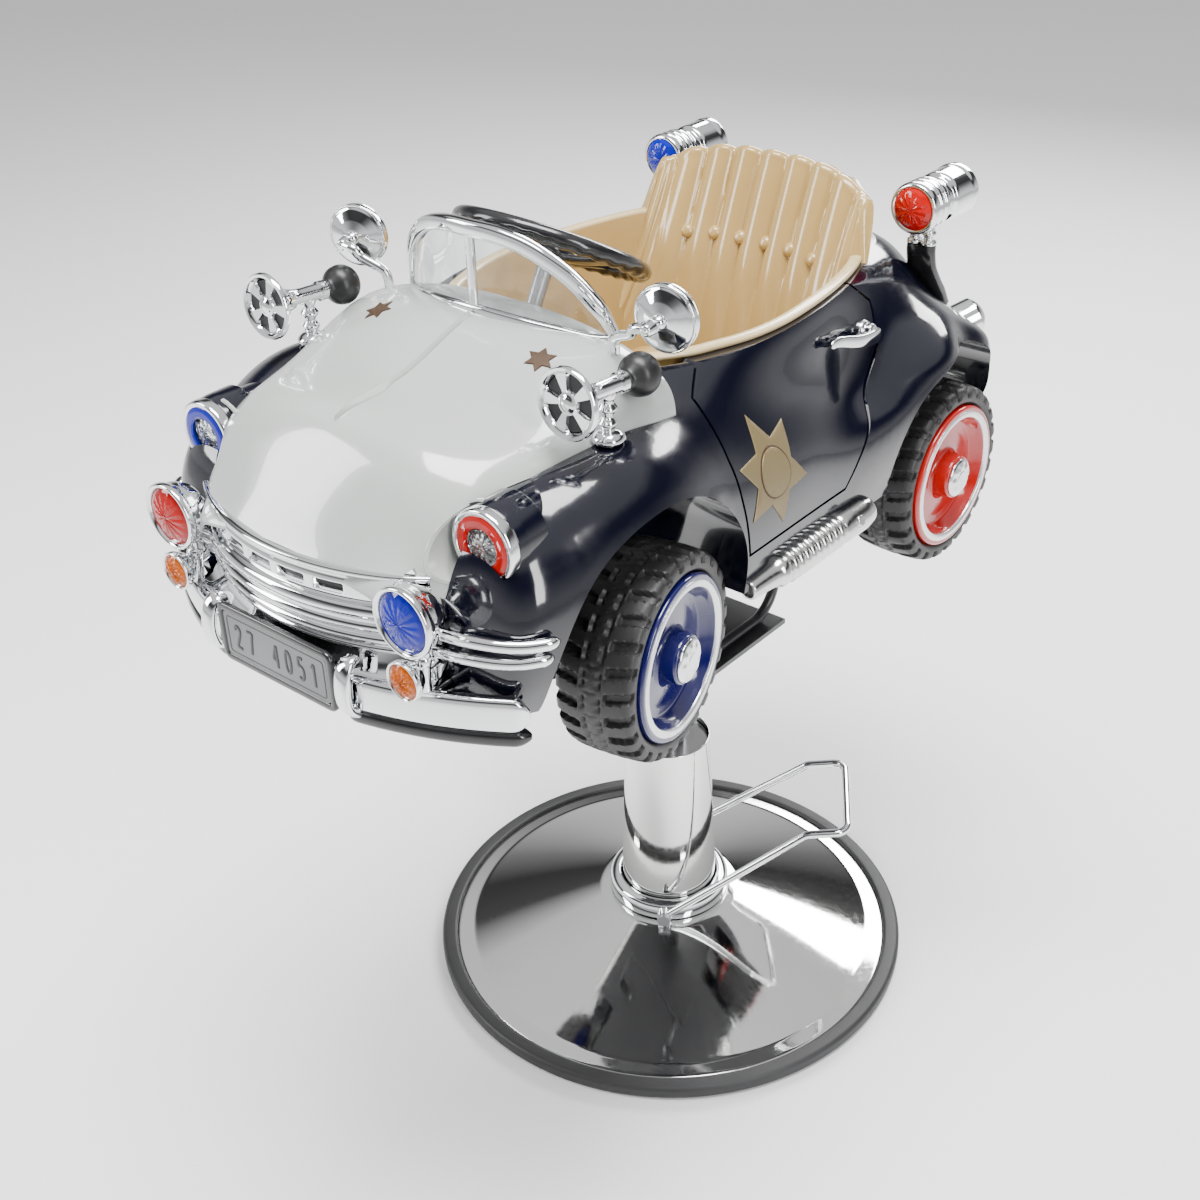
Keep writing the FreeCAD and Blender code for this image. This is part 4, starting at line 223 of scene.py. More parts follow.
# %% Finishes
# For each finish: its slot in the record, a light and a dark colour, the least and the most
# roughness, metal, coat, grains in a metre, bump, patches in a metre (9 unless given), stretch
PLAIN = {
    "mirror_steel": ("cover_steel", (0.8, 0.8, 0.79), (0.74, 0.74, 0.73), (0.035, 0.085), 1, 0, 160, 0.03, 5),
    "chrome": ("chrome", (0.86, 0.87, 0.88), (0.78, 0.79, 0.81), (0.02, 0.07), 1, 0, 240, 0.03),
    "worn_chrome": ("pipe_silver", (0.72, 0.72, 0.71), (0.6, 0.6, 0.59), (0.1, 0.24), 1, 0, 300, 0.1),
    "shaft_steel": (None, (0.42, 0.42, 0.43), (0.34, 0.34, 0.35), (0.28, 0.42), 1, 0, 420, 0.08, 9, (1, 1, 12)),
    "cast_iron": (None, (0.05, 0.05, 0.052), (0.035, 0.035, 0.037), (0.5, 0.75), 0.4, 0, 700, 0.35),
    "pump_paint": (None, (0.06, 0.06, 0.065), (0.045, 0.045, 0.05), (0.3, 0.42), 0, 0.2, 500, 0.1),
    "frame_paint": (None, (0.018, 0.018, 0.02), (0.012, 0.012, 0.014), (0.28, 0.42), 0, 0.15, 600, 0.12),
    "rim_rubber": ("rim_rubber", (0.018, 0.018, 0.019), (0.026, 0.026, 0.027), (0.42, 0.6), 0, 0, 900, 0.2),
    "body_gloss": ("body_black", (0.0022, 0.0026, 0.0085), (0.0017, 0.002, 0.0065), (0.09, 0.15), 0, 0.55, 55,
                   0.012, 4),
    "hood_gloss": ("hood_white", (0.43, 0.455, 0.43), (0.39, 0.415, 0.4), (0.12, 0.2), 0, 0.7, 45, 0.012, 4),
    "seat_plastic": ("seat_beige", (0.45, 0.3, 0.11), (0.4, 0.26, 0.088), (0.16, 0.27), 0, 0.5, 70, 0.02, 6),
    "seat_edge": ("seat_beige", (0.6, 0.47, 0.26), (0.55, 0.42, 0.22), (0.2, 0.3), 0, 0.3, 90, 0.02),
    "black_plastic": ("stalk_black", (0.008, 0.008, 0.009), (0.012, 0.012, 0.013), (0.14, 0.26), 0, 0.3, 120, 0.03),
    "floor_plastic": (None, (0.02, 0.02, 0.022), (0.014, 0.014, 0.016), (0.45, 0.6), 0, 0, 500, 0.15),
    "bulb_rubber": ("bulb_rubber", (0.004, 0.004, 0.0045), (0.006, 0.006, 0.0065), (0.34, 0.46), 0, 0, 700, 0.08),
    "tyre_rubber": ("tyre_black", (0.01, 0.01, 0.011), (0.018, 0.017, 0.017), (0.38, 0.55), 0, 0, 800, 0.16),
    "rim_blue": ("rim_blue", (0.0035, 0.0035, 0.085), (0.0028, 0.0028, 0.068), (0.12, 0.2), 0, 0.7, 60, 0.015),
    "rim_red": ("rim_red", (0.46, 0.006, 0.004), (0.4, 0.005, 0.003), (0.12, 0.2), 0, 0.7, 60, 0.015),
    "ring_silver": ("chrome", (0.86, 0.87, 0.89), (0.78, 0.79, 0.81), (0.14, 0.25), 0.75, 0, 200, 0.04),
    "plate_silver": ("sign_grey", (0.2, 0.205, 0.21), (0.15, 0.155, 0.16), (0.3, 0.42), 0.6, 0, 380, 0.08, 9,
                     (1, 1, 14)),
    "plate_ink": ("stalk_black", (0.015, 0.015, 0.017), (0.022, 0.022, 0.024), (0.3, 0.45), 0, 0, 400, 0.05),
    "badge_gold": ("sign_grey", (0.2, 0.155, 0.075), (0.17, 0.125, 0.055), (0.32, 0.45), 0.35, 0, 260, 0.08),
    "badge_dark": ("sign_grey", (0.06, 0.028, 0.01), (0.045, 0.022, 0.008), (0.35, 0.5), 0.3, 0, 260, 0.05),
    # Painted shade: plain black for the bottoms of the grille's slots and the inside of the horns
    "painted_shade_black": ("stalk_black", (0.006, 0.006, 0.008), (0.009, 0.009, 0.011), (0.35, 0.5), 0, 0, 200, 0.05),
}
# For each clear plastic: its slot, tint, roughness and how much light goes through
CLEAR = {
    "clear_pane": ("clear", (0.93, 0.96, 0.97), 0.02, 0.97),
    "red_pane": ("red_clear", (0.62, 0.004, 0.002), 0.04, 0.3),
    "blue_pane": ("blue_clear", (0.002, 0.01, 0.5), 0.04, 0.3),
    "amber_pane": ("amber_clear", (0.8, 0.17, 0.003), 0.04, 0.45),
}
FINISHES = {name: (plain_finish(name, *row[1:]), row[0]) for name, row in PLAIN.items()}
FINISHES.update({name: (clear_finish(name, *row[1:]), row[0]) for name, row in CLEAR.items()})

NODE_FINISHES = {name: finish for finish, names in (
    ("chrome", "column_collar pump_pedal lift_piston door_handle_left door_handle_right windshield_frame grille "
             "bumper_blades headlight_bezels spot_housings horns mirror_stems mirror_left mirror_right "
             "beacon_barrels tail_lamps"),
    ("mirror_steel", "base_cover column_shroud"), ("cast_iron", "base_plate"), ("rim_rubber", "rubber_rim"),
    ("pump_paint", "pump_cylinder"), ("frame_paint", "swivel_plate under_frame"),
    ("worn_chrome", "exhaust_pipes"),
    ("shaft_steel", "base_bolts frame_bolts steering_shaft tie_rod knuckle_left knuckle_right rear_axle"),
    ("floor_plastic", "floor_pan"), ("body_gloss", "body_shell door_left door_right"),
    ("hood_gloss", "hood_shell"),
    ("seat_plastic", "seat_tub dashboard"), ("black_plastic", "bumper_lip beacon_stalks steering_wheel"),
    ("bulb_rubber", "horn_bulbs"), ("plate_silver", "number_plate"), ("amber_pane", "amber_lenses"),
    ("clear_pane", "windshield_glass headlight_lenses"), ("red_pane", "red_lenses"), ("blue_pane", "blue_lenses"),
) for name in names.split()}
for end, rim_finish in (("front", "rim_blue"), ("rear", "rim_red")):
    for side in ("left", "right"):
        NODE_FINISHES[f"tyre_{end}_{side}"] = "tyre_rubber"
        NODE_FINISHES[f"rim_{end}_{side}"] = rim_finish
        NODE_FINISHES[f"hubcap_{end}_{side}"] = "chrome"
for name, finish in NODE_FINISHES.items():
    NODES[name].data.materials.clear()
    NODES[name].data.materials.append(FINISHES[finish][0])
print(len(NODE_FINISHES), "nodes have a finish")

# %% [markdown]
# ## Surfaces
#
# A piece is one or more grids of points.  `surface` numbers the corners of a grid's quads,
# and `build` joins grids into one closed mesh, welds its poles and seams and points its
# faces outwards.  Sections are written in millimetres, because that is how such parts are
# drawn; `profile` and `bent` turn them into metres.

# %% Surface helpers
TAU = 2 * math.pi
WELD = 2e-6
SIDES = ((1, "left"), (-1, "right"))


def grid(across, along, up):
    """Arrays of x, y and z that fit together become one array of points."""
    return np.stack(np.broadcast_arrays(across, along, up), -1)


def capped(points, axis):
    """Closes a grid's two ends: one more line at each, drawn together to that end's middle."""
    first, last = np.take(points, [0], axis), np.take(points, [-1], axis)
    ends = [np.broadcast_to(line.mean(1 - axis, keepdims=True), line.shape) for line in (first, last)]
    return np.concatenate([ends[0], points, ends[1]], axis)


def surface(points, wrap_rows=False, wrap_cols=False):
    """A grid of points (rows, cols, 3) becomes a list of corners and of quads between neighbours."""
    rows, cols = points.shape[:2]
    row, col = np.meshgrid(np.arange(rows if wrap_rows else rows - 1), np.arange(cols if wrap_cols else cols - 1),
                           indexing="ij")
    below, beside = (row + 1) % rows, (col + 1) % cols
    corners = [row * cols + col, row * cols + beside, below * cols + beside, below * cols + col]
    return points.reshape(-1, 3), np.stack(corners, -1).reshape(-1, 4)


def build(name, parts, finish, replaces="", body="car", crease=38):
    """Joins grids into one mesh at the origin, welded, with its faces outwards, riding on a body."""
    corners, faces, count = [], [], 0
    for points, quads in parts:
        corners.append(points)
        faces.append(quads + count)
        count += len(points)
    mesh = bpy.data.meshes.new(name)
    mesh.from_pydata(np.concatenate(corners).tolist(), [], np.concatenate(faces).tolist())
    shape = bmesh.new()
    shape.from_mesh(mesh)
    bmesh.ops.remove_doubles(shape, verts=shape.verts, dist=WELD)
    bmesh.ops.dissolve_degenerate(shape, edges=shape.edges, dist=WELD / 2)
    bmesh.ops.recalc_face_normals(shape, faces=shape.faces)
    shape.to_mesh(mesh)
    shape.free()
    mesh.shade_smooth()
    mesh.set_sharp_from_angle(angle=math.radians(crease))
    piece = bpy.data.objects.new(name, mesh)
    bpy.context.scene.collection.objects.link(piece)
    material, usual_slot = FINISHES[finish]
    mesh.materials.append(material)
    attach(piece, body)
    if replaces:
        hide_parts(replaces)
    print(f"{name}: {len(mesh.polygons)} faces on {body}")


def frame_about(axis):
    """Two directions at right angles to an axis and to each other."""
    axis = np.asarray(axis, float) / np.linalg.norm(axis)
    first = np.cross([0, 0, 1.0] if abs(axis[2]) < 0.9 else [0, 1.0, 0], axis)
    first = first / np.linalg.norm(first)
    return axis, first, np.cross(axis, first)


def lathe(profile, at=(0, 0, 0), axis=(0, 0, 1), count=64, wave=None):
    """A profile of (radius, height) turned round an axis: at + height*axis + radius*(cos t, sin t).

    wave(turn, radius, height) may return what to add to the radius and to the height."""
    profile = np.asarray(profile, float)
    axis, first, second = frame_about(axis)
    turn, radius = np.meshgrid(np.arange(count) * TAU / count, profile[:, 0])
    height = np.repeat(profile[:, 1:2], count, 1)
    if wave is not None:
        wider, higher = wave(turn, radius, height)
        radius, height = radius + wider, height + higher
    points = (np.asarray(at, float) + height[..., None] * axis
              + radius[..., None] * (np.cos(turn)[..., None] * first + np.sin(turn)[..., None] * second))
    return surface(points, False, True)


def soften(points, radius, steps=4, closed=False):
    """Replaces each corner of a polyline by a quadratic curve that starts radius away from it."""
    points = np.asarray(points, float)
    count = len(points)
    out = [] if closed else [points[:1]]
    share = np.linspace(0, 1, steps + 1)[:, None]
    for number in range(count) if closed else range(1, count - 1):
        before, corner, after = points[number - 1], points[number], points[(number + 1) % count]
        near = min(radius, np.linalg.norm(before - corner) * 0.45)
        far = min(radius, np.linalg.norm(after - corner) * 0.45)
        start = corner + (before - corner) / np.linalg.norm(before - corner) * near
        stop = corner + (after - corner) / np.linalg.norm(after - corner) * far
        out.append((1 - share) ** 2 * start + 2 * share * (1 - share) * corner + share ** 2 * stop)
    if not closed:
        out.append(points[-1:])
    return np.concatenate(out)


def profile(stops, radius, steps=4, closed=False):
    """A softened section whose points and radius are given in millimetres."""
    return soften(np.array(stops) / 1000, radius / 1000, steps, closed)


def evenly(points, count):
    """The same line with its points spread evenly along its length."""
    gone = np.concatenate([[0], np.cumsum(np.linalg.norm(np.diff(points, axis=0), axis=1))])
    place = np.linspace(0, gone[-1], count)
    return np.stack([np.interp(place, gone, points[:, part]) for part in (0, 1)], -1)


def through(points, count, closed=False):
    """A Catmull-Rom curve through points, sampled evenly in its parameter."""
    points = np.asarray(points, float)
    total = len(points)
    if closed:
        place = np.arange(count) * total / count
        whole = np.floor(place).astype(int)
        picked = [points[(whole + step) % total] for step in (-1, 0, 1, 2)]
    else:
        place = np.linspace(0, total - 1, count)
        whole = np.minimum(np.floor(place).astype(int), total - 2)
        first, last = 2 * points[0] - points[1], 2 * points[-1] - points[-2]
        held = np.concatenate([first[None], points, last[None]])
        picked = [held[whole + step] for step in (0, 1, 2, 3)]
    t = (place - whole)[:, None]
    a, b, c, d = picked
    return 0.5 * (2 * b + (c - a) * t + (2 * a - 5 * b + 4 * c - d) * t ** 2 + (3 * b - a - 3 * c + d) * t ** 3)


def bent(stops, count):
    """A smooth line through points given in millimetres."""
    return through(np.array(stops) / 1000, count)


def sweep(path, section, up=(0, 0, 1), closed=False, scale=None):
    """A flat section (across, up) carried along a path, at right angles to it, its ends closed."""
    path = np.asarray(path, float)
    section = np.asarray(section, float)
    ahead = np.roll(path, -1, 0) - np.roll(path, 1, 0) if closed else np.gradient(path, axis=0)
    ahead /= np.linalg.norm(ahead, axis=1, keepdims=True)
    across = np.cross(ahead, np.asarray(up, float))
    across /= np.linalg.norm(across, axis=1, keepdims=True)
    rise = np.cross(across, ahead)
    size = np.ones(len(path)) if scale is None else np.asarray(scale, float)
    points = path[:, None] + size[:, None, None] * (section[None, :, 0, None] * across[:, None]
                                                    + section[None, :, 1, None] * rise[:, None])
    return surface(points if closed else capped(points, 0), closed, True)


def oval(wide, high, power=1.0, count=24):
    """A closed outline between an ellipse (power 1) and a rounded box (power under 1)."""
    turn = np.arange(count) * TAU / count
    cos, sin = np.cos(turn), np.sin(turn)
    return np.stack([wide * np.sign(cos) * np.abs(cos) ** power, high * np.sign(sin) * np.abs(sin) ** power], -1)


def plaque(outline, origin, across, up, thick, bevel):
    """A flat shape with chamfered edges: rings shrink to its middle on the front and on the back."""
    outline = np.asarray(outline, float)
    across, up = np.asarray(across, float), np.asarray(up, float)
    out = np.cross(across, up)
    middle = outline.mean(0)
    reach = np.linalg.norm(outline - middle, axis=1, keepdims=True)
    inner = middle + (outline - middle) * (1 - bevel / reach)
    rings = [(middle + 0 * outline, thick), (middle + (inner - middle) * 0.5, thick), (inner, thick),
             (outline, thick - bevel), (outline, 0), (middle + 0 * outline, 0)]
    points = np.stack([np.asarray(origin, float) + ring[:, :1] * across + ring[:, 1:] * up + height * out
                       for ring, height in rings])
    return surface(points, False, True)


def on_side(part, sign):
    """A grid drawn for the car's left (1), or its mirror image for the right (-1), faces still outwards."""
    points, quads = part
    return (points, quads) if sign == 1 else (points * [-1, 1, 1], quads[:, ::-1])


def both_sides(parts):
    """Grids drawn for the car's left, each with its mirror image."""
    return [on_side(part, sign) for part in parts for sign, _ in SIDES]


def ball(at, radius, count=24):
    """A sphere from its circles of latitude: radius times (cos lat cos lon, cos lat sin lon, sin lat)."""
    lat = np.linspace(-math.pi / 2, math.pi / 2, count // 2 + 1)[:, None]
    lon = np.arange(count)[None] * TAU / count
    points = grid(np.cos(lat) * np.cos(lon), np.cos(lat) * np.sin(lon), np.sin(lat))
    return surface(np.asarray(at, float) + radius * points, False, True)


# %% [markdown]
# ## The mirror base and its column
#
# The base is a spun stainless cover over an iron plate: a flat band, a shallow cone and a
# rubber rim.  A profile turned round the ram's axis gives each, with more sides than the CAD
# mesh has, because a mirror shows every facet.

# %% Base and column
COVER = profile([(59, 11.5), (59, 74.1), (78, 74.5), (88, 73.8), (256, 16.8), (259, 16), (276.5, 15),
                 (279, 14.2), (279, 11.5), (59, 11.5)], 3)
build("cover_spun", [lathe(COVER, count=192)], "mirror_steel", "base_cover", "base")
RIM = profile([(268, 0), (296.5, 0), (300, 4), (300, 14.5), (296.5, 18), (282, 18), (279.5, 15.5),
               (279.5, 11.2), (270.5, 11.2), (270.5, 0), (268, 0)], 2.2)
build("rim_moulded", [lathe(RIM, count=192)], "rim_rubber", "rubber_rim", "base")
COLLAR = profile([(61.5, 75.8), (76, 75.5), (76, 92), (73.5, 96.5), (68, 99), (61.5, 99), (61.5, 75.8)], 2.5)
build("collar_spun", [lathe(COLLAR, count=128)], "chrome", "column_collar", "base")
SHROUD = profile([(61.1, 75.5), (52, 312.5), (51.2, 313.2), (50.3, 312.5), (59.4, 75.5), (61.1, 75.5)], 0.6)
build("shroud_spun", [lathe(SHROUD, count=160)], "mirror_steel", "column_shroud", "base")
RAM = profile([(0, 121), (21.8, 121), (21.9, 487.5), (0, 487.5)], 0.8)
build("ram_rod", [lathe(RAM, count=96)], "chrome", "lift_piston", "lift")

# %% [markdown]
# ## Wheels
#
# Each wheel has a moulded tyre with chunky side lugs, a coloured rim with a silver ring, a
# raised boss and a domed cap.  The tyre is a section turned round the axle whose radius
# drops wherever a groove runs; the two shoulders' lugs are half a pitch apart.

# %% Tyres
WHEELS = {}
STEERED = math.radians(10.2)
for sign, side in SIDES:
    lean = np.array([math.cos(STEERED), math.sin(STEERED), 0])
    WHEELS[f"front_{side}"] = np.array([sign * 0.150, -0.320, 0.681]) + sign * 0.0665 * lean, sign * lean
    WHEELS[f"rear_{side}"] = np.array([sign * 0.2165, 0.188, 0.666]), np.array([sign, 0, 0])
LUGS = 26
TYRE_HALF = profile([(80.2, 0), (80.2, 34), (83.5, 37.8), (90.5, 38.3), (96.5, 36.8), (99.2, 32.5), (100.3, 24),
                     (101, 13), (101.2, 0)], 2, 2)
even = np.linspace(0, len(TYRE_HALF) - 1, 60)
TYRE_HALF = np.stack([np.interp(even, np.arange(len(TYRE_HALF)), TYRE_HALF[:, part]) for part in (0, 1)], -1)
TYRE_SECTION = np.concatenate([TYRE_HALF, TYRE_HALF[-2:0:-1] * [1, -1], TYRE_HALF[:1]])


def stepped(value, edge, width=0.08):
    """Goes from 0 to 1 over a short width about an edge."""
    share = np.clip((value - edge) / width + 0.5, 0, 1)
    return share * share * (3 - 2 * share)


def tread(turn, radius, height):
    """Grooves between side lugs, slanted and half a pitch apart, and two zigzag rings between them."""
    beyond = np.abs(height)
    pitch = turn * LUGS / TAU
    place = pitch + np.where(height > 0, 0.0, 0.5) + beyond * 9.0
    share = place - np.floor(place)
    between = stepped(share, 0.60, 0.12) * (1 - stepped(share, 0.97, 0.06))
    shoulder = stepped(beyond, 0.0135, 0.003) * stepped(radius, 0.0895, 0.003)
    zigzag = 0.0075 + 0.0022 * (2 * np.abs(2 * (pitch - np.floor(pitch)) - 1) - 1)
    ring = np.exp(-((beyond - zigzag) / 0.0014) ** 2) * stepped(radius, 0.097, 0.002)
    crown = stepped(radius, 0.0955, 0.004)
    deep = -0.0052 * between * shoulder * (0.35 + 0.65 * crown) - 0.0035 * ring
    flank = -0.0030 * between * shoulder * (1 - crown) * np.sign(height)
    return deep, flank


for place, (centre, axis) in WHEELS.items():
    build(f"tread_{place}", [lathe(TYRE_SECTION, centre, axis, LUGS * 14, tread)], "tyre_rubber",
          f"tyre_{place}", f"{place}_wheel", crease=30)

# %% [markdown]
# The rim's profile runs from the flange over the ring's seat into the dish and up the boss;
# its hub is hollow for the axle.  Ring and cap are pieces of their own, because their finish
# differs.

# %% Rims, rings and caps
RIM_PROFILE = profile([(7, -38.5), (13, -38.5), (13.5, -5), (74, -6), (75.8, -36.5), (79.8, -37), (79.8, 39.2),
                       (77.8, 41.3), (71.5, 40.8), (66.8, 39.8), (64, 33), (59, 25.5), (50, 24.2), (29, 25),
                       (26.2, 28), (24, 43), (22.5, 44.5), (7, 44.5), (7, -38.5)], 2.2)
RING_PROFILE = profile([(74.5, 39.5), (74.5, 41.5), (72.2, 42.4), (69.5, 42.4), (67.2, 41.2), (66.2, 38.5),
                        (74.5, 39.5)], 1)
CAP_PROFILE = profile([(0, 50.5), (8, 50.3), (9.2, 49.6), (10.4, 50), (15, 49.2), (19.5, 47.8), (21.5, 46.2),
                       (21.5, 44.6), (0, 44.6)], 1.2)


def cap_rays(turn, radius, height):
    """Eight shallow rays between the cap's boss and its edge."""
    belt = np.exp(-((radius - 0.0150) / 0.0034) ** 2) * (height > 0.0450)
    return 0 * turn, 0.0007 * belt * np.cos(8 * turn)


for place, (centre, axis) in WHEELS.items():
    colour = "rim_blue" if place.startswith("front") else "rim_red"
    body = f"{place}_wheel"
    build(f"rim_moulded_{place}", [lathe(RIM_PROFILE, centre, axis, 96)], colour, f"rim_{place}", body)
    build(f"rim_ring_{place}", [lathe(RING_PROFILE, centre, axis, 96)], "ring_silver", body=body)
    build(f"cap_{place}", [lathe(CAP_PROFILE, centre, axis, 64, cap_rays)], "chrome", f"hubcap_{place}", body)

# %% [markdown]
# ## Seat
#
# The seat is one glossy beige moulding: a lining down the cockpit's walls, a pan, and a back
# with seven upright channels, buttons in the valleys between them and wings that curl
# forward.  Its plan is a closed curve through the cockpit's outline.

# %% Cockpit outline
COCKPIT_HALF = [(0.00, 0.38), (0.03, 0.62), (0.13, 0.83), (0.20, 0.91), (0.30, 0.985), (0.43, 1.00), (0.63, 0.93),
                (0.80, 0.80), (0.93, 0.57), (0.99, 0.30)]
COCKPIT_FRONT, COCKPIT_LENGTH, COCKPIT_WIDE = -0.222, 0.460, 0.176
half = np.array([(across * COCKPIT_WIDE, COCKPIT_FRONT + along * COCKPIT_LENGTH)
                 for along, across in COCKPIT_HALF])
COCKPIT = through(np.concatenate([half, half[::-1] * [-1, 1]]), 240, True)
COCKPIT_MIDDLE = np.array([0, 0.012])


def cockpit_ring(z, grow, share=1.0):
    """The cockpit's outline at a height, grown outwards by a length and scaled about its middle."""
    ahead = np.roll(COCKPIT, -1, 0) - np.roll(COCKPIT, 1, 0)
    normal = np.stack([ahead[:, 1], -ahead[:, 0]], -1)
    normal /= np.linalg.norm(normal, axis=1, keepdims=True)
    ring = COCKPIT_MIDDLE + (COCKPIT + normal * grow - COCKPIT_MIDDLE) * share
    return np.concatenate([ring, np.full((len(ring), 1), z)], 1)


outward = np.sign(np.linalg.norm(cockpit_ring(0, 0.01)[:, :2] - COCKPIT_MIDDLE, axis=1).mean()
                  - np.linalg.norm(COCKPIT - COCKPIT_MIDDLE, axis=1).mean())


def lining():
    """Rings from under the floor up the outside, over the rim and down the inside to the floor.

    Each level is (height, growth outwards, share of the outline); the foot well ahead is narrower."""
    levels = [(0.7012, -0.003, 0.80), (0.7012, -0.003, 0.86), (0.730, -0.0034, 0.885), (0.790, -0.0034, 0.93),
              (0.850, -0.0034, 0.965), (0.9005, -0.0034, 0.998), (0.9028, -0.0036, 1.0), (0.9028, -0.0062, 1.0),
              (0.895, -0.0070, 0.996), (0.850, -0.0070, 0.962), (0.790, -0.0070, 0.926), (0.735, -0.0070, 0.880),
              (0.7125, -0.0085, 0.855), (0.7062, -0.0150, 0.80), (0.7052, -0.0250, 0.70)]
    rings = [cockpit_ring(z, grow * outward, share) for z, grow, share in levels]
    poles = [0 * rings[0] + [0, COCKPIT_MIDDLE[1], levels[end][0]] for end in (0, -1)]
    points = np.stack(poles[:1] + rings + poles[1:])
    across, along, up = np.abs(points[..., 0]), points[..., 1], points[..., 2]
    well = stepped(along, 0.052, 0.03) * (1 - stepped(up, 0.822, 0.03))
    narrow = 0.1318 - 0.004 * (np.arange(len(points)) > 7)[:, None]
    points[..., 0] = np.sign(points[..., 0]) * (across * (1 - well) + well * np.minimum(across, narrow))
    return [surface(points, False, True)]


build("seat_lining", lining(), "seat_plastic", "seat_tub")
# A rounded bead follows the cockpit's edge just above the body's rim
bead = sweep(cockpit_ring(0.9032, 0.0005 * outward), oval(0.0066, 0.0034, 0.75, 16), closed=True)
build("seat_edge_bead", [bead], "seat_edge")

# %% [markdown]
# The back's front face leans from the pan to its top and curls forward at the wings.  Its
# channels are the absolute sine of the distance across, so that they swell between sharp
# valleys, and the same sine scallops the top edge.

# %% Seat back
PAN_TOP, BACK_TOP = 0.758, 0.976
CHANNELS, CHANNEL_REACH = 7, 0.118
BACK_ROWS, BUTTON_ROW = 44, 27


def channels(across):
    """The absolute sine of the distance across, flattened by a power: 1 on a channel, 0 in a valley."""
    return np.abs(np.sin(math.pi * (across / (2 * CHANNEL_REACH) * CHANNELS + 0.5))) ** 0.7


def back_grid():
    """Rows climb the front face, roll over the top and go down behind; columns run from wing to wing."""
    u = np.linspace(-1, 1, 211)
    turn = u * 1.45
    edge = 1 - np.abs(np.cos(turn)) ** 0.75
    spread_out = np.sign(np.sin(turn)) * np.abs(np.sin(turn)) ** 0.80

    def leaned(climb):
        """How far across and how far back the plain sheet stands at a share of its height."""
        return ((0.134 + 0.017 * climb) * spread_out,
                0.120 + 0.077 * climb ** 1.25 - (0.085 - 0.006 * climb) * edge)

    climb = np.linspace(0, 1, BACK_ROWS)[:, None]
    across, along = leaned(climb)
    reach = np.clip(np.abs(across) / CHANNEL_REACH, 0, 1.6)
    swell = channels(across)
    inside = 1 - stepped(reach, 1.02, 0.10)
    fade = 0.45 + 0.55 * stepped(climb, 0.35, 0.5)
    leaf_place = (np.abs(across) - 0.121) / 0.024
    leaf = np.abs(np.sin(math.pi * (leaf_place * 1.6 + climb * 1.3))) ** 0.7
    wing = stepped(reach, 1.05, 0.08) * stepped(climb, 0.25, 0.3)
    push = 0.0075 * swell * inside * fade + 0.0050 * leaf * wing
    facing = np.stack([-spread_out * 0.75, -np.abs(np.cos(turn)) ** 0.4 * 0.95], -1)
    face_x, face_y = (facing / np.linalg.norm(facing, axis=1, keepdims=True)).T
    top = BACK_TOP - 0.020 * np.clip(np.abs(u) / 0.62, 0, 1) ** 2.2 - 0.072 * stepped(np.abs(u), 0.82, 0.34)
    scallop = 0.0065 * (swell[-1] - 0.6) * inside[-1]
    foot = PAN_TOP - 0.004
    front = grid(across + face_x * push, along + face_y * push, foot + (top + scallop - foot) * climb)
    thick = 0.0135 - 0.0065 * stepped(np.abs(u), 0.80, 0.3)
    crest = front[-1]
    angle = np.radians([22, 45, 68, 90, 112, 135, 158])[:, None]
    move = (1 - np.cos(angle)) * thick / 2
    rolled = crest + grid(-face_x * move, -face_y * move, np.sin(angle) * 0.0052)
    share = np.linspace(1, 0, 14)[:, None]
    across, along = leaned(share)
    behind = grid(across - face_x * thick, along - face_y * thick, foot * (1 - share) + crest[:, 2] * share)
    return capped(np.concatenate([front, rolled, behind]), 1)


BACK_POINTS = back_grid()
build("seat_back", [surface(BACK_POINTS, True, False)], "seat_plastic", crease=70)


def buttons():
    """A dome in each of the six valleys, two thirds of the way up the back, square to its face."""
    dome_section = profile([(0, 6.2), (4.2, 5.6), (7.2, 3.2), (8, 0), (8, -3), (0, -3)], 1.2)
    row = BACK_POINTS[BUTTON_ROW, 1:-1]
    parts = []
    for across in (np.arange(6) - 2.5) * 2 * CHANNEL_REACH / CHANNELS:
        spot = row[np.argmin(np.abs(row[:, 0] - across))] + [0, -0.0012, 0]
        parts.append(lathe(dome_section, spot, (-2.2 * across, -0.92, 0.36), 28))
    return parts


build("seat_buttons", buttons(), "seat_plastic")

# %% [markdown]
# The pan carries the same channels forward and rolls down to the floor at its front edge.
# Its side view is a bent line; the sheet is that line moved across, and a second sheet
# under it gives the moulding its thickness.

# %% Seat pan
def pan_grid():
    """Rows run forward over the pan and down its front; a second sheet below closes the piece."""
    side_view = profile([(142, 757), (60, 757), (4, 759), (-1.5, 700)], 22, 8)
    side_view = np.concatenate([np.linspace(side_view[0], side_view[1], 12)[:-1], side_view[1:]])
    u = np.linspace(-1, 1, 141)
    half_wide = 0.1265 + 0.010 * (1 - stepped(side_view[:, 0], 0.05, 0.05))
    across = half_wide[:, None] * u[None]
    push = 0.0060 * channels(across) * (1 - stepped(np.abs(across), CHANNEL_REACH, 0.012))
    ahead = np.gradient(side_view, axis=0)
    ahead /= np.linalg.norm(ahead, axis=1, keepdims=True)
    out = np.stack([ahead[:, 1], -ahead[:, 0]], -1)
    sheets = [grid(across, side_view[:, :1] + out[:, :1] * off, side_view[:, 1:] + out[:, 1:] * off)
              for off in (push, -0.004)]
    return capped(np.concatenate([sheets[0], sheets[1][::-1]]), 1)


build("seat_pan", [surface(pan_grid(), True, False)], "seat_plastic", crease=70)

# %% [markdown]
# ## Lamps
#
# A lamp is a spun bowl with a rolled bezel and a moulded lens.  The lens's facets are ribs
# and rings pressed into its surface, so they catch light as points do in clear plastic.

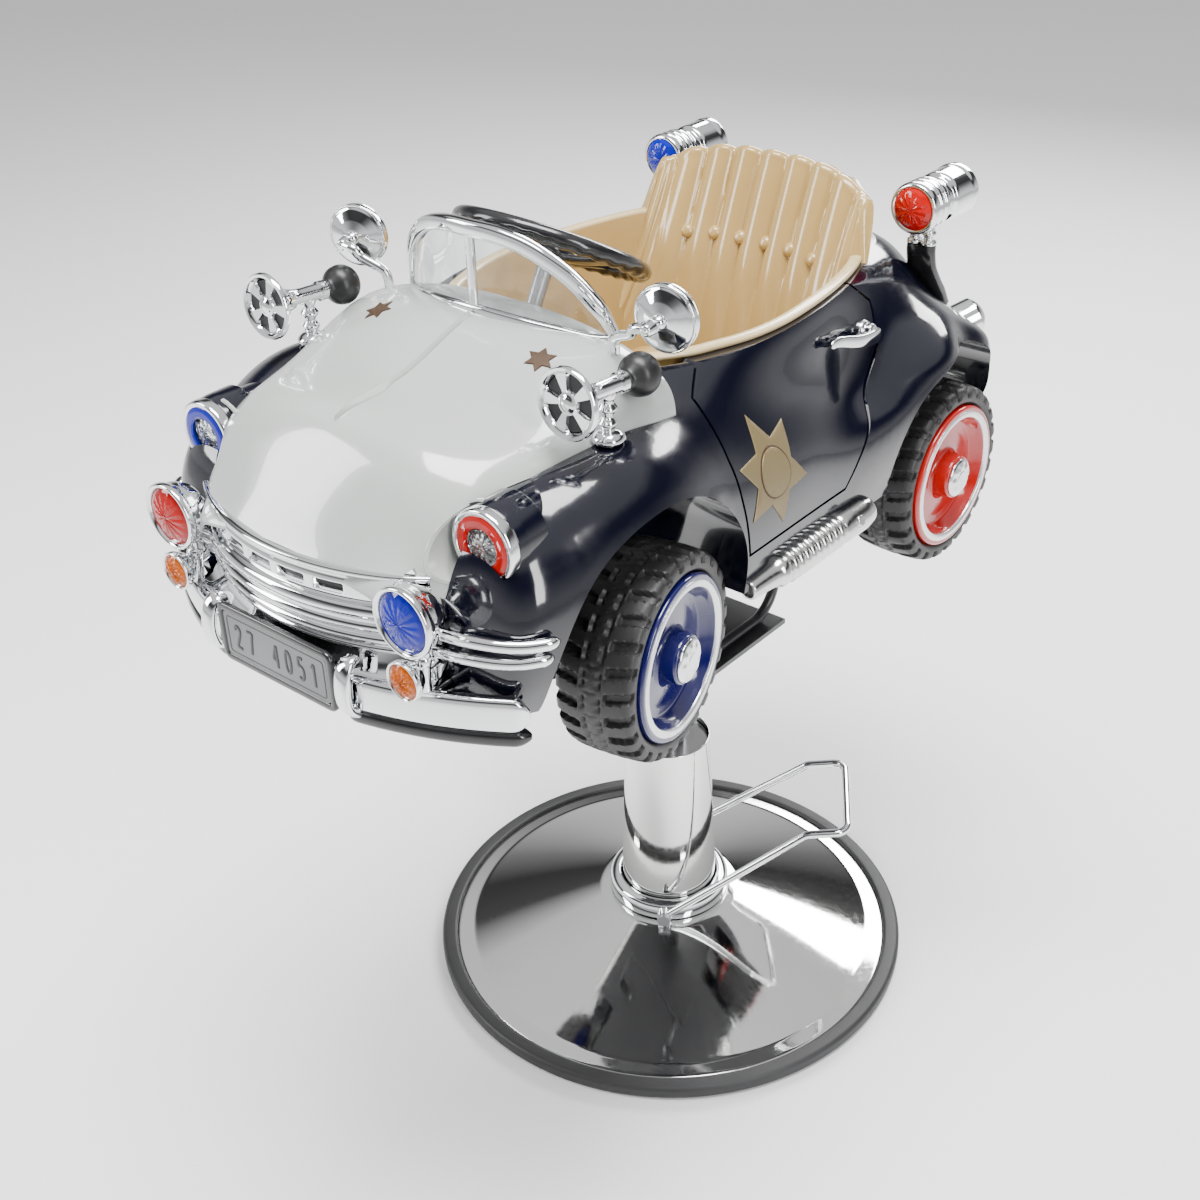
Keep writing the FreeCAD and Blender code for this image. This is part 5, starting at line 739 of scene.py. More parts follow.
# %% Lamps at the nose
def facets(ribs, depth, rings=0.0):
    """Radial ribs, and rings where asked, pressed into a lens's face."""
    def shape(turn, radius, height):
        share = radius / max(radius.max(), 1e-6)
        press = depth * np.cos(ribs * turn) * np.sin(math.pi * np.clip(share, 0, 1)) ** 0.6
        press = (press + rings * np.cos(share * 5 * TAU)) * (1 - stepped(share, 0.84, 0.12))
        return 0 * turn, np.where(height > 0.0004, press, 0)
    return shape


def dome(radius, rise, base=0.0, rows=14):
    """A lens's profile: a shallow sphere cap over a flat back."""
    share = np.linspace(0, 1, rows)
    cap = np.stack([radius * share, base + 0.0008 + rise * np.sqrt(np.clip(1 - (share * 0.92) ** 2, 0, 1))
                    - rise * math.sqrt(1 - 0.92 ** 2)], -1)
    return np.concatenate([cap, [[radius, base], [0, base]]])


FORWARD = np.array([0, -1.0, 0])
HEADLIGHT = np.array([0.177, -0.465, 0.8445])
BEZEL = profile([(20.8, 0.5), (26.2, 0.5), (28, 2.6), (32.5, 3.4), (34, 0.8), (34, -8), (20.8, -8.5),
                 (20.8, 0.5)], 1.6)
build("headlight_rims", both_sides([lathe(BEZEL, HEADLIGHT, FORWARD, 72)]), "chrome", "headlight_bezels")
POD = profile([(20.8, -7.8), (33.4, -7.8), (34.5, -18), (35, -42), (20.8, -42), (20.8, -7.8)], 1.2)
build("headlight_pods", both_sides([lathe(POD, HEADLIGHT, FORWARD, 72)]), "body_gloss")
COLOUR_RING = profile([(17.2, 3.2), (19, 4.2), (24.5, 4), (28.4, 2.6), (28.4, 0.4), (17.2, 0.4), (17.2, 3.2)],
                      0.7)
lens = lathe(dome(0.0176, 0.0075, -0.002), HEADLIGHT, FORWARD, 96, facets(12, 0.0007, 0.0003))
build("headlight_lens_discs", both_sides([lens]), "clear_pane", "headlight_lenses")
REFLECTOR = [(0.0208, -0.0046), (0.0150, -0.0100), (0.0060, -0.0138), (0.0, -0.0145), (0.0, -0.0152),
             (0.0208, -0.0152), (0.0208, -0.0046)]
build("headlight_bowls", both_sides([lathe(REFLECTOR, HEADLIGHT, FORWARD, 48)]), "chrome")

SPOT = np.array([0.151, -0.535, 0.798])
SPOT_BOWL = profile([(26.8, 2), (29.2, 5.6), (32.5, 5), (32.5, -1), (30, -4), (29, -12), (23, -23), (12, -31.5),
                     (0, -33.5), (0, -30), (21, -20), (26.2, -10), (26.8, 2)], 2.8)
AMBER = np.array([0.150, -0.541, 0.743])
AMBER_BOWL = profile([(15.8, 1.2), (17.2, 3.4), (19, 2.8), (19, -2), (16.8, -6), (12, -13), (0, -15), (0, -12),
                      (15, -4), (15.8, 1.2)], 1.6)


def nose_lamps():
    """The two chrome bowls, the post between them and the bracket behind."""
    post = [(0.1505, -0.520, 0.722), (0.1505, -0.519, 0.742), (0.1505, -0.516, 0.762), (0.151, -0.517, 0.778)]
    bracket = [(0.150, -0.528, 0.743), (0.1502, -0.514, 0.7445), (0.1505, -0.506, 0.746)]
    knuckle = [(0.151, -0.505, 0.798), (0.1508, -0.499, 0.792), (0.1505, -0.500, 0.778)]
    return [lathe(SPOT_BOWL, SPOT, FORWARD, 80), lathe(AMBER_BOWL, AMBER, FORWARD, 64),
            sweep(through(post, 14), oval(0.0062, 0.0062), up=(1, 0, 0)),
            sweep(through(bracket, 8), oval(0.0048, 0.0048), up=(1, 0, 0)),
            sweep(through(knuckle, 8), oval(0.0058, 0.0058), up=(1, 0, 0)),
            ball((0.1505, -0.5175, 0.7700), 0.0082), ball((0.1505, -0.5185, 0.7520), 0.0078)]


build("nose_lamp_bowls", both_sides(nose_lamps()), "chrome", "spot_housings")
amber_lens = lathe(dome(0.0157, 0.0070, 0.0004), AMBER, FORWARD, 72, facets(10, 0.0008, 0.0004))
build("amber_signals", both_sides([amber_lens]), "amber_pane", "amber_lenses")

# %% [markdown]
# The coloured lenses come in a red set and a blue set: one spot lamp, one beacon and one
# headlight ring each, on opposite sides of the car.

# %% Red and blue lenses
BEACON_FRONT = np.array([0.167, 0.214, 0.943])
SET_FACETS = facets(14, 0.0004, 0.00025), facets(12, 0.0004, 0.00025)


def coloured(spot_sign, beacon_sign, ring_sign):
    """One set of lenses, each on its own side: 1 for the car's left, -1 for its right."""
    return [lathe(dome(0.0266, 0.0100, 0.0010), SPOT * [spot_sign, 1, 1], FORWARD, 96, SET_FACETS[0]),
            lathe(dome(0.0222, 0.0100), BEACON_FRONT * [beacon_sign, 1, 1], FORWARD, 96, SET_FACETS[1]),
            lathe(COLOUR_RING, HEADLIGHT * [ring_sign, 1, 1], FORWARD, 72)]


build("red_glow", coloured(-1, 1, 1), "red_pane", "red_lenses")
build("blue_glow", coloured(1, -1, -1), "blue_pane", "blue_lenses")

# %% [markdown]
# ## Horns, mirrors and beacons
#
# Each horn is a chrome trumpet with an openwork face, a knobbly post and a rubber bulb.  The
# face's five petals are hollows pressed into the disc by a cosine of the turn.  The trumpet
# leans back by a few degrees.

# %% Horns
HORN = np.array([0.188, -0.369, 0.938])
HORN_TILT = math.radians(4)
HORN_AXIS = np.array([0, -math.cos(HORN_TILT), math.sin(HORN_TILT)])
HORN_FACE = [(0, 1.8), (4.4, 1.8), (6.4, 0.6), (8.0, -0.4), (9.8, -0.6)]
HORN_FACE += [(radius, -0.6) for radius in np.linspace(11.1, 25.3, 12)]
HORN_FACE += [(26.7, -0.2), (28.1, 1.4), (30.7, 1.8), (32.0, 0), (32.0, -2.6), (29.8, -5.2), (22.2, -8.5),
              (15.0, -16.0), (11.2, -25.5), (9.0, -33.5), (8.1, -40.0), (8.1, -63.0), (9.8, -64.5), (9.8, -71.2),
              (0, -71.8)]
HORN_FACE = np.array(HORN_FACE) / 1000


def petals(turn, radius, height):
    """Five hollows between spokes, deepest half way out."""
    belt = stepped(radius, 0.0111, 0.002) * (1 - stepped(radius, 0.0253, 0.002))
    belt = belt * (height > -0.002) * (radius < 0.028)
    lobe = stepped(np.cos(5 * turn), -0.15, 0.5)
    return 0 * turn, -0.0064 * belt * lobe


def horn_and_post():
    """The trumpet with its post of beads on a round foot."""
    post = profile([(0, 886), (15, 886), (15, 890.5), (11, 894.5), (5, 896.5), (9.2, 902.5), (5, 908.5),
                    (5, 910), (9.6, 916), (5.2, 922), (7.8, 926), (7.8, 932), (0, 933.5)], 2.2)
    return [lathe(HORN_FACE, HORN, HORN_AXIS, 110, petals), lathe(post, (0.188, -0.318, 0), count=40),
            sweep([(0.188, -0.318, 0.870), (0.188, -0.318, 0.8875)], oval(0.0085, 0.0085), up=(0, 1, 0))]


build("horn_trumpets", both_sides(horn_and_post()), "chrome", "horns")
# A thin black disc just behind the openwork face is painted shade inside the trumpet
HORN_SHADOW = [(0, -0.0036), (0.0246, -0.0036), (0.0246, -0.0044), (0, -0.0044)]
build("horn_shadows", both_sides([lathe(HORN_SHADOW, HORN, HORN_AXIS, 64)]), "painted_shade_black")
BULB = profile([(0, 0), (9, 0), (9, 4.5), (12.2, 8), (18, 13.6), (20, 22.6), (18.8, 29), (15, 35.2), (8, 39.4),
                (0, 40.4)], 5)
rubber = lathe(BULB, HORN - HORN_AXIS * 0.0723, -HORN_AXIS, 56)
build("horn_rubber", both_sides([rubber]), "bulb_rubber", "horn_bulbs")

# %% [markdown]
# A mirror is a shallow spun cone over a short drum, on a ball at the end of its arm.  The
# two dishes are turned by different angles, as they stand in the photograph.

# %% Mirrors
MIRROR_AT = np.array([0.191, -0.251, 0.971])
MIRROR_TOES = {1: math.radians(6), -1: math.radians(-18)}
MIRROR_DISH = profile([(0, 0.6), (8, -0.4), (17, -3.4), (26.5, -7.6), (29, -9.4), (30.2, -8.6), (31.1, -9.6),
                       (31.1, -10.8), (30, -11.8), (30, -16), (30.7, -16.8), (30.3, -17.6), (28.8, -17.4),
                       (28.4, -16), (0, -15.8)], 0.9)
MIRROR_GLASS = [(0.0, -0.0163), (0.0282, -0.0163), (0.0282, -0.0160), (0.0, -0.0160)]


def mirror_arm(front):
    """A bent rod from a button foot on the body up and round to the front of the dish's ball."""
    tip = MIRROR_AT + front * 0.0075
    end = tip + front * 0.0105
    route = [(0.142, -0.251, 0.914), (0.1425, -0.252, 0.932), (0.1455, -0.2545, 0.948),
             end * [0.72, 0.985, 1] + [0.032, 0, -0.010], end + [-0.014, 0, -0.002], end]
    foot = profile([(0, -4), (11, -4), (11, 1.5), (7, 5), (0, 5.5)], 1.6)
    collar = profile([(0, 0), (5.6, 0), (7, 3.5), (6.2, 11), (5, 15), (0, 16)], 1.4)
    return [sweep(through(route, 36), oval(0.0048, 0.0048), up=(0.3, 1, 0.2)),
            lathe(foot, (0.142, -0.251, 0.918), count=36), lathe(collar, tip, front, 32)]


arms = []
for sign, side in SIDES:
    toe = MIRROR_TOES[sign]
    facing = np.array([math.sin(toe), -math.cos(toe), 0])
    dish = [on_side(part, sign) for part in (lathe(MIRROR_DISH, MIRROR_AT, facing, 96), ball(MIRROR_AT, 0.0066))]
    pane = on_side(lathe(MIRROR_GLASS, MIRROR_AT - facing * 0.0006, facing, 64), sign)
    build(f"mirror_dish_{side}", dish, "chrome", f"mirror_{side}", f"{side}_mirror")
    build(f"mirror_pane_{side}", [pane], "mirror_steel", body=f"{side}_mirror")
    arms += [on_side(part, sign) for part in mirror_arm(facing)]
build("mirror_arms", arms, "chrome", "mirror_stems")

# %% [markdown]
# The windshield is a low chrome frame bent round an upright cylinder, with a divider and two
# panes.  Its front view is half an outline of (across, up) shares; each point of the path
# is pushed back on to the cylinder.

# %% Windshield
SCREEN_MIDDLE, SCREEN_RADIUS = -0.0795, 0.1995
SCREEN_HALF = [(0.0, 0.215), (0.30, 0.198), (0.62, 0.145), (0.86, 0.080), (0.955, 0.095), (0.940, 0.210),
               (0.865, 0.395), (0.71, 0.640), (0.48, 0.840), (0.25, 0.925), (0.0, 0.940)]


def on_screen(flat, deeper=0.0):
    """Front-view points (across, up) move on to the cylinder, or inside it."""
    radius = SCREEN_RADIUS - deeper
    return grid(flat[..., 0], SCREEN_MIDDLE - np.sqrt(radius ** 2 - flat[..., 0] ** 2), flat[..., 1])


def outward_of(points):
    """The cylinder's direction outwards at each point."""
    flat = (points - [0, SCREEN_MIDDLE, 0]) * [1, 1, 0]
    return flat / np.linalg.norm(flat, axis=1, keepdims=True)


half = np.array(SCREEN_HALF) * [0.132, 0.106] + [0, 0.926]
SCREEN_PATH = on_screen(through(np.concatenate([half, half[-2:0:-1] * [-1, 1]]), 200, True))
screen_band = 1 + 0.35 * stepped(SCREEN_PATH[:, 2], 0.955, 0.03)
divider = on_screen(np.stack([np.zeros(12), np.linspace(0.948, 1.0265, 12)], -1))
surround = sweep(SCREEN_PATH, oval(0.0056, 0.0046, 0.55), outward_of(SCREEN_PATH), True, screen_band)
post = sweep(divider, oval(0.0046, 0.0042, 0.7, 20), up=(0, -1, 0))
build("screen_surround", [surround, post], "chrome", "windshield_frame")


def panes():
    """Each pane: columns from the foot rail to the top rail on a thin outer and inner sheet."""
    foot, top = half[:4], half[4:][::-1]
    across = np.linspace(0.003, 0.1215, 60)
    low = np.interp(across, foot[:, 0], foot[:, 1])
    high = np.maximum(np.interp(across, top[:, 0], top[:, 1]), low + 0.001)
    share = np.linspace(0, 1, 16)[:, None]
    flat = np.stack(np.broadcast_arrays(across, low * (1 - share) + high * share), -1)
    sheets = [on_screen(flat, deeper) for deeper in (-0.0012, 0.0012)]
    return [surface(capped(np.concatenate([sheets[0], sheets[1][::-1]]), 1), True, False)]


build("screen_panes", both_sides(panes()), "clear_pane", "windshield_glass")

# %% [markdown]
# A beacon is a stack of turned chrome rings: a bezel, ribs, a narrow waist and a plain drum
# with a rolled end.  Two short necks join it to a bent black stalk on the rear fender.

# %% Beacons
BARREL = profile([(21.5, 0.5), (24, -1.8), (26.8, -0.5), (28, 3), (28, 8.5), (25.5, 10.5), (25.5, 12.5),
                  (27.8, 14.5), (27.8, 19.5), (25.2, 21.5), (25.2, 23.5), (27.6, 25.5), (27.6, 30.5),
                  (24, 33.5), (22.5, 40), (22.5, 46), (26.2, 49), (27, 52), (27, 80), (28.2, 82.5), (28.2, 90),
                  (26.2, 93), (20, 95.5), (0, 97.5), (0, 10), (21.5, 0.5)], 1.3)


def beacon_chrome():
    """The barrel, its two necks and the collars at their feet."""
    parts = [lathe(BARREL, BEACON_FRONT, (0, 1, 0), 80)]
    for across in (-0.0085, 0.0085):
        neck = profile([(0, 899.5), (8.5, 899.5), (8.5, 903), (5.8, 905), (5.8, 908.5), (7.6, 910.5),
                        (7.6, 913.5), (6, 915), (6, 920), (0, 921)], 1.2)
        parts.append(lathe(neck, (0.167 + across, 0.238, 0), count=32))
    return parts


build("beacon_drums", both_sides(beacon_chrome()), "chrome", "beacon_barrels")


def beacon_stalk():
    """A flattened tube from the necks down and back to a round foot on the fender."""
    route = bent([(167, 238, 899.2), (167, 238.5, 888), (167, 243, 872), (167, 254, 855), (166.5, 266, 840),
                  (165.5, 276, 824)], 30)
    swell = 1 + 0.12 * np.linspace(0, 1, 30) ** 3
    return [sweep(route, oval(0.0168, 0.0082, 0.8, 28), up=(0, 1, 0.2), scale=swell)]


build("beacon_arms", both_sides(beacon_stalk()), "black_plastic", "beacon_stalks")

# %% [markdown]
# ## Side exhausts
#
# The dummy exhaust is a silver casting: a tapered tip, a ribbed middle and a plain muffler
# with a bolt head.  The ribs are a raised cosine added to the turned profile's radius.

# %% Exhausts
EXHAUST_STOPS = profile([(0, 0.5), (8.5, 0.5), (9.8, 3), (11.6, 30), (12.8, 40), (16.5, 46), (16.5, 52),
                         (14.5, 56), (14.5, 150), (17.2, 154), (18, 164), (18, 195), (16.5, 207), (11, 211.5),
                         (0, 211.8)], 4)
EXHAUST_STOPS = evenly(EXHAUST_STOPS, 230)


def exhaust_ribs(turn, radius, height):
    """Nine rounded ribs along the middle of the pipe."""
    belt = stepped(height, 0.0575, 0.003) * (1 - stepped(height, 0.1490, 0.003))
    return 0.0034 * belt * np.abs(np.sin(math.pi * (height - 0.0575) / 0.0102)) ** 0.6, 0 * turn


def exhaust():
    """The pipe, a bolt head on the muffler and two short stays to the sill."""
    parts = [lathe(EXHAUST_STOPS, (0.243, -0.186, 0.692), (0, 1, 0), 48, exhaust_ribs)]
    bolt = profile([(0, 20), (5.5, 20), (7, 18.5), (7, 14), (0, 14)], 1)
    parts.append(lathe(bolt, (0.243, -0.012, 0.692), (1, 0, 0.35), 6))
    for along in (-0.125, -0.005):
        parts.append(sweep([(0.222, along, 0.704), (0.238, along, 0.697)], oval(0.005, 0.009), up=(0, 0, 1)))
    return parts


build("exhaust_castings", both_sides(exhaust()), "worn_chrome", "exhaust_pipes", crease=50)

# %% [markdown]
# ## Steering wheel
#
# The wheel is a ring with finger swells on its under side, three spokes and a domed hub.
# It turns about the tilted column.

# %% Steering wheel
WHEEL_AT, WHEEL_RADIUS = np.array([0, -0.170, 0.980]), 0.090
COLUMN = np.array([0, 0.5, 0.8660254])
WHEEL_SIDE, WHEEL_UP = np.array([1.0, 0, 0]), np.array([0, 0.8660254, -0.5])


def wheel_ring():
    """A torus: the small circle swells 16 times round on its lower half."""
    turn = (np.arange(192) * TAU / 192)[:, None]
    small = (np.arange(20) * TAU / 20)[None]
    thick = 0.0083 + 0.0008 * np.clip(-np.sin(small), 0, 1) * np.cos(32 * turn)
    out = WHEEL_RADIUS + thick * np.cos(small)
    high = thick * np.sin(small)
    spoke = np.cos(turn)[..., None] * WHEEL_SIDE + np.sin(turn)[..., None] * WHEEL_UP
    return surface(WHEEL_AT + out[..., None] * spoke + high[..., None] * COLUMN, True, True)


def wheel_spokes():
    """Flat spokes that dip towards the hub."""
    parts = []
    for angle in (0, 90, 180):
        out = math.cos(math.radians(angle)) * WHEEL_SIDE + math.sin(math.radians(angle)) * WHEEL_UP
        route = through([WHEEL_AT + out * r - COLUMN * low for r, low in ((0.010, 0.010), (0.035, 0.0085),
                                                                        (0.062, 0.004), (0.086, 0.0005))], 20)
        parts.append(sweep(route, oval(0.0095, 0.0034, 0.6, 20), up=COLUMN, scale=np.linspace(1.15, 0.9, 20)))
    return parts


WHEEL_HUB = profile([(0, -18), (16.5, -18), (23.5, -10), (24, -3), (20.5, 1.5), (19, 0.5), (10, 3.2), (0, 4)], 3)
build("wheel_grip", [wheel_ring(), lathe(WHEEL_HUB, WHEEL_AT, COLUMN, 48)] + wheel_spokes(), "black_plastic",
      "steering_wheel", "steering", crease=50)

# %% [markdown]
# ## Nose
#
# The grille is one chromed moulding bent round the nose: a thin lip under the hood, a band
# with four dark slots and wide ridges below.  Its section runs from the lip down, and the
# plan is an arc, so the surface is that section carried round the arc's angle.

# %% Grille
NOSE_MIDDLE, NOSE_RADIUS, NOSE_HALF = -0.278, 0.262, math.radians(33.5)
SLOT_HALF = math.radians(3.25)
SLOT_TURNS = np.radians([-13.2, -4.4, 4.4, 13.2])
SLOT_HEIGHT = 0.800
ridges = profile([(0, 820), (4, 820), (5.5, 816.5), (3, 813), (1.2, 811), (3, 808), (3.6, 804), (3.6, 796),
                  (3, 792), (0.8, 789.5), (6.5, 787), (9.2, 782), (7.2, 776.5), (1, 773.5), (6, 771.5),
                  (8.5, 767.5), (6.2, 763), (0.8, 760), (4.6, 758), (6.6, 754.5), (4.6, 751), (0.4, 748),
                  (2.5, 746), (3.5, 744), (1.5, 741.5), (-2, 741)], 2, 4)
GRILLE_SECTION = evenly(ridges, 150)


def on_arc(turn, radius, middle, level):
    """Points on an upright cylinder about (0, middle): (radius sin t, middle - radius cos t, level)."""
    return grid(radius * np.sin(turn), middle - radius * np.cos(turn), level)


def grille_skin():
    """The section at every turn, with four rounded pockets in the slot band and a flat back."""
    turn = np.linspace(-NOSE_HALF, NOSE_HALF, 321)[None]
    out, up = GRILLE_SECTION[:, :1], GRILLE_SECTION[:, 1:]
    belt = 1 - stepped(np.abs(up - SLOT_HEIGHT), 0.0040, 0.0022)
    for middle in SLOT_TURNS:
        out = out - 0.0060 * belt * (1 - stepped(np.abs(turn - middle), SLOT_HALF, 0.006))
    taper = 1 - 0.25 * (np.abs(turn) / NOSE_HALF) ** 3
    front = on_arc(turn, NOSE_RADIUS + out * taper, NOSE_MIDDLE, up)
    flat = on_arc(turn, NOSE_RADIUS - 0.004, NOSE_MIDDLE, np.array([[0.742], [0.819]]))
    return surface(capped(np.concatenate([front, flat]), 1), True, False)


def fender_bars():
    """Two chrome bars wrap each fender's nose and end in round tips."""
    parts = []
    for level, wide, thick in ((0.774, 0.258, 0.0056), (0.755, 0.2503, 0.0054)):
        path = through([(wide * share, along, level) for share, along in (
            (0.53, -0.504), (0.60, -0.5045), (0.70, -0.4995), (0.80, -0.4905), (0.875, -0.4790), (0.925, -0.4640),
            (0.945, -0.4520))], 40)
        tip = np.ones(40)
        tip[-5:] = [0.98, 0.92, 0.80, 0.58, 0.25]
        parts.append(sweep(path, oval(thick, thick, 0.9, 18), scale=tip))
    return parts


build("grille_moulding", [grille_skin()] + both_sides(fender_bars()), "chrome", "grille", crease=45)


# A black strip at the bottom of each slot is painted shade in the slot's recess
shade_strips = [sweep(on_arc(middle + np.linspace(-0.88, 0.88, 14) * SLOT_HALF, NOSE_RADIUS - 0.0016, NOSE_MIDDLE,
                       SLOT_HEIGHT), oval(0.0008, 0.0034, 0.5, 16)) for middle in SLOT_TURNS]
build("grille_slot_shade", shade_strips, "painted_shade_black")

# %% [markdown]
# ## Bumper and number plate
#
# Two chrome blades stand either side of the plate, each with a black lip under it.  A blade
# is a rounded section carried round the bumper's arc and closed by a rounded end.

# %% Bumper
BUMPER_MIDDLE, BUMPER_RADIUS = -0.157, 0.402


def bumper_bar(wide, high, level, power):
    """A rounded box section along the arc; its ends shrink over the last few stations."""
    turn = np.radians(np.linspace(11.6, 35.6, 60))
    path = on_arc(turn, BUMPER_RADIUS - wide - 0.0002, BUMPER_MIDDLE, level)
    ends = np.ones(60)
    ends[:4], ends[-6:] = [0.62, 0.84, 0.94, 0.99], [0.99, 0.95, 0.87, 0.74, 0.55, 0.28]
    return sweep(path, oval(wide, high, power, 32), scale=ends)


def blade_and_bracket():
    """The blade, and the block that holds it and the lamps to the floor pan."""
    block = sweep([(0.145, -0.492, 0.706), (0.145, -0.524, 0.706)], oval(0.010, 0.0145, 0.5, 20))
    curl = bent([(86.5, -540.5, 740), (87.5, -549, 738.5), (88.5, -555.5, 729), (89, -558, 712),
                 (88.5, -555, 697), (88, -546, 689)], 26)
    return [bumper_bar(0.0074, 0.0172, 0.7075, 0.62), block,
            sweep(curl, oval(0.0085, 0.0042, 0.7, 20), up=(0, -1, 0.35))]


def apron():
    """A curved tray from the grille's foot forward and down to the back of the blades."""
    reach = 0.152 * np.linspace(-1, 1, 90)
    inner = NOSE_MIDDLE - np.sqrt(0.260 ** 2 - reach ** 2)
    outer = BUMPER_MIDDLE - np.sqrt(0.390 ** 2 - reach ** 2)
    share = np.linspace(0, 1, 5)[:, None]
    sag = np.array([0, 0.004, 0.006, 0.004, 0])[:, None]
    level = 0.7425 * (1 - share) + 0.7210 * share - sag
    sheets = [grid(reach, inner * (1 - share) + outer * share, level - drop) for drop in (0, 0.0020)]
    return surface(capped(np.concatenate([sheets[0], sheets[1][::-1]]), 1), True, False)


build("bumper_chrome", both_sides(blade_and_bracket()) + [apron()], "chrome", "bumper_blades")
build("bumper_rubber", both_sides([bumper_bar(0.0098, 0.0076, 0.6840, 0.7)]), "black_plastic", "bumper_lip")

# %% [markdown]
# The plate is a grey sheet with round corners in a dark moulded frame.  A flat outline gives
# the sheet by shrinking towards its middle, and the same kind of outline is the path along
# which the frame and the thin printed line are swept.

# %% Number plate
PLATE_HEIGHT = 0.7155


def rounded_box(wide, high, corner, steps=5):
    """The outline of a box that reaches wide and high from its middle, its corners rounded."""
    return soften([(-wide, -high), (wide, -high), (wide, high), (-wide, high)], corner, steps, True)


def plate_bead(outline, along, section):
    """A section swept round an outline that stands upright on the plate."""
    path = grid(outline[:, 0], along, PLATE_HEIGHT + outline[:, 1])
    return sweep(path, section, up=(0, 1, 0), closed=True)


def plate_sheet(outline, along, thick, bevel):
    """A flat sheet with chamfered edges, its face to the front."""
    return plaque(outline, (0, along, PLATE_HEIGHT), (1, 0, 0), (0, 0, 1), thick, bevel)


surround = plate_bead(rounded_box(0.0720, 0.0265, 0.006), -0.5535, oval(0.0038, 0.0030, 0.6, 16))
backing = plate_sheet(rounded_box(0.0720, 0.0265, 0.004, 4), -0.5495, 0.0035, 0.0008)
build("plate_surround", [surround, backing], "black_plastic")
sign_sheet = plate_sheet(rounded_box(0.0685, 0.0232, 0.005), -0.5532, 0.0022, 0.0007)
build("plate_sign", [sign_sheet], "plate_silver", "number_plate")
line = plate_bead(rounded_box(0.0640, 0.0188, 0.004), -0.5554, oval(0.0008, 0.0004, 1.0, 8))
build("plate_line", [line], "plate_ink")

# %% [markdown]
# The figures on the plate are strokes.  Each is a polyline in a box one wide and two high,
# with its corners softened and a small oval section swept along it.

# %% Figures
FIGURES = {
    "2": [(0.05, 1.6), (0.2, 1.93), (0.55, 2.0), (0.9, 1.8), (0.95, 1.4), (0.6, 0.9), (0.05, 0.05), (1.0, 0.05)],
    "7": [(0.0, 1.95), (1.0, 1.95), (0.75, 1.2), (0.45, 0.0)],
    "4": [(0.75, 0.0), (0.75, 2.0), (0.0, 0.65), (1.0, 0.65)],
    "0": [(0.5, 2.0), (0.12, 1.75), (0.0, 1.0), (0.12, 0.25), (0.5, 0.0), (0.88, 0.25), (1.0, 1.0), (0.88, 1.75),
          (0.5, 2.0)],
    "5": [(0.92, 1.95), (0.12, 1.95), (0.08, 1.15), (0.5, 1.28), (0.9, 1.05), (0.98, 0.6), (0.8, 0.15), (0.45, 0.0),
          (0.05, 0.25)],
    "1": [(0.2, 1.6), (0.6, 2.0), (0.6, 0.0)],
}
PITCH, TALL = 0.0168, 0.0235


def figures(row):
    """Each figure's stroke, a pitch after the one before; a space leaves a gap."""
    parts = []
    for number, figure in enumerate(row):
        if figure != " ":
            flat = soften(np.array(FIGURES[figure]) * [TALL * 0.30, TALL / 2], TALL * 0.10, 3)
            shift = (number - (len(row) - 1) / 2) * PITCH - TALL * 0.15
            path = grid(shift + flat[:, 0], -0.5555, PLATE_HEIGHT + flat[:, 1] - TALL / 2)
            parts.append(sweep(path, oval(0.0017, 0.0005, 0.7, 12), up=(0, 1, 0)))
    return parts


build("plate_figures", figures("27 4051"), "plate_ink")

# %% [markdown]
# ## Badges and door handles
#
# A six-pointed star is a ring of points whose distance from the middle swings between two
# lengths.  It is laid on the door by casting each point sideways on to the CAD panel.

# %% Star badges
def star(outer, inner):
    """Twelve corners alternate between two radii, with extra points along each edge."""
    number = np.arange(12)
    turn = number * math.pi / 6 + math.pi / 2
    reach = np.where(number % 2 == 0, outer, inner)
    corners = np.stack([reach * np.cos(turn), reach * np.sin(turn)], -1)
    share = (np.arange(6) / 6)[None, :, None]
    following = np.roll(corners, -1, 0)
    return (corners[:, None] * (1 - share) + following[:, None] * share).reshape(-1, 2)


def panel_tree(*names):
    """A search tree over CAD panels, for finding their surface."""
    corners, faces, count = [], [], 0
    for name in names:
        mesh = NODES[name].data
        points = np.empty(len(mesh.vertices) * 3)
        mesh.vertices.foreach_get("co", points)
        mesh.calc_loop_triangles()
        triangles = np.empty(len(mesh.loop_triangles) * 3, int)
        mesh.loop_triangles.foreach_get("vertices", triangles)
        corners.append(points.reshape(-1, 3))
        faces.append(triangles.reshape(-1, 3) + count)
        count += len(corners[-1])
    return BVHTree.FromPolygons(np.concatenate(corners).tolist(), np.concatenate(faces).tolist())


def laid_on(tree, flat, origin, across, up, cast, lifts, bevel):
    """Rings of a flat shape are cast along a direction on to a panel and lifted off it.

    The front's rings shrink to the middle at the second lift, the back's at the first."""
    middle = flat * 0
    rings = [(middle, lifts[1])] + [(flat * share, lifts[1]) for share in (0.25, 0.5, 0.75, 1 - bevel)]
    rings += [(flat, lifts[1] * 0.4), (flat, lifts[0])] + [(flat * share, lifts[0]) for share in (0.6, 0.3)]
    rings.append((middle, lifts[0]))
    across, up, cast = np.array([across, up, cast], float)
    rows = []
    for ring, lift in rings:
        start = origin - cast * 0.1 + ring[:, :1] * across + ring[:, 1:] * up
        found = []
        for point in start:
            spot, normal, _, _ = tree.ray_cast(Vector(point), Vector(cast), 0.3)
            found.append(point + cast * 0.1 if spot is None else np.array(spot) - cast * lift)
        rows.append(np.array(found))
    return surface(np.stack(rows), False, True)


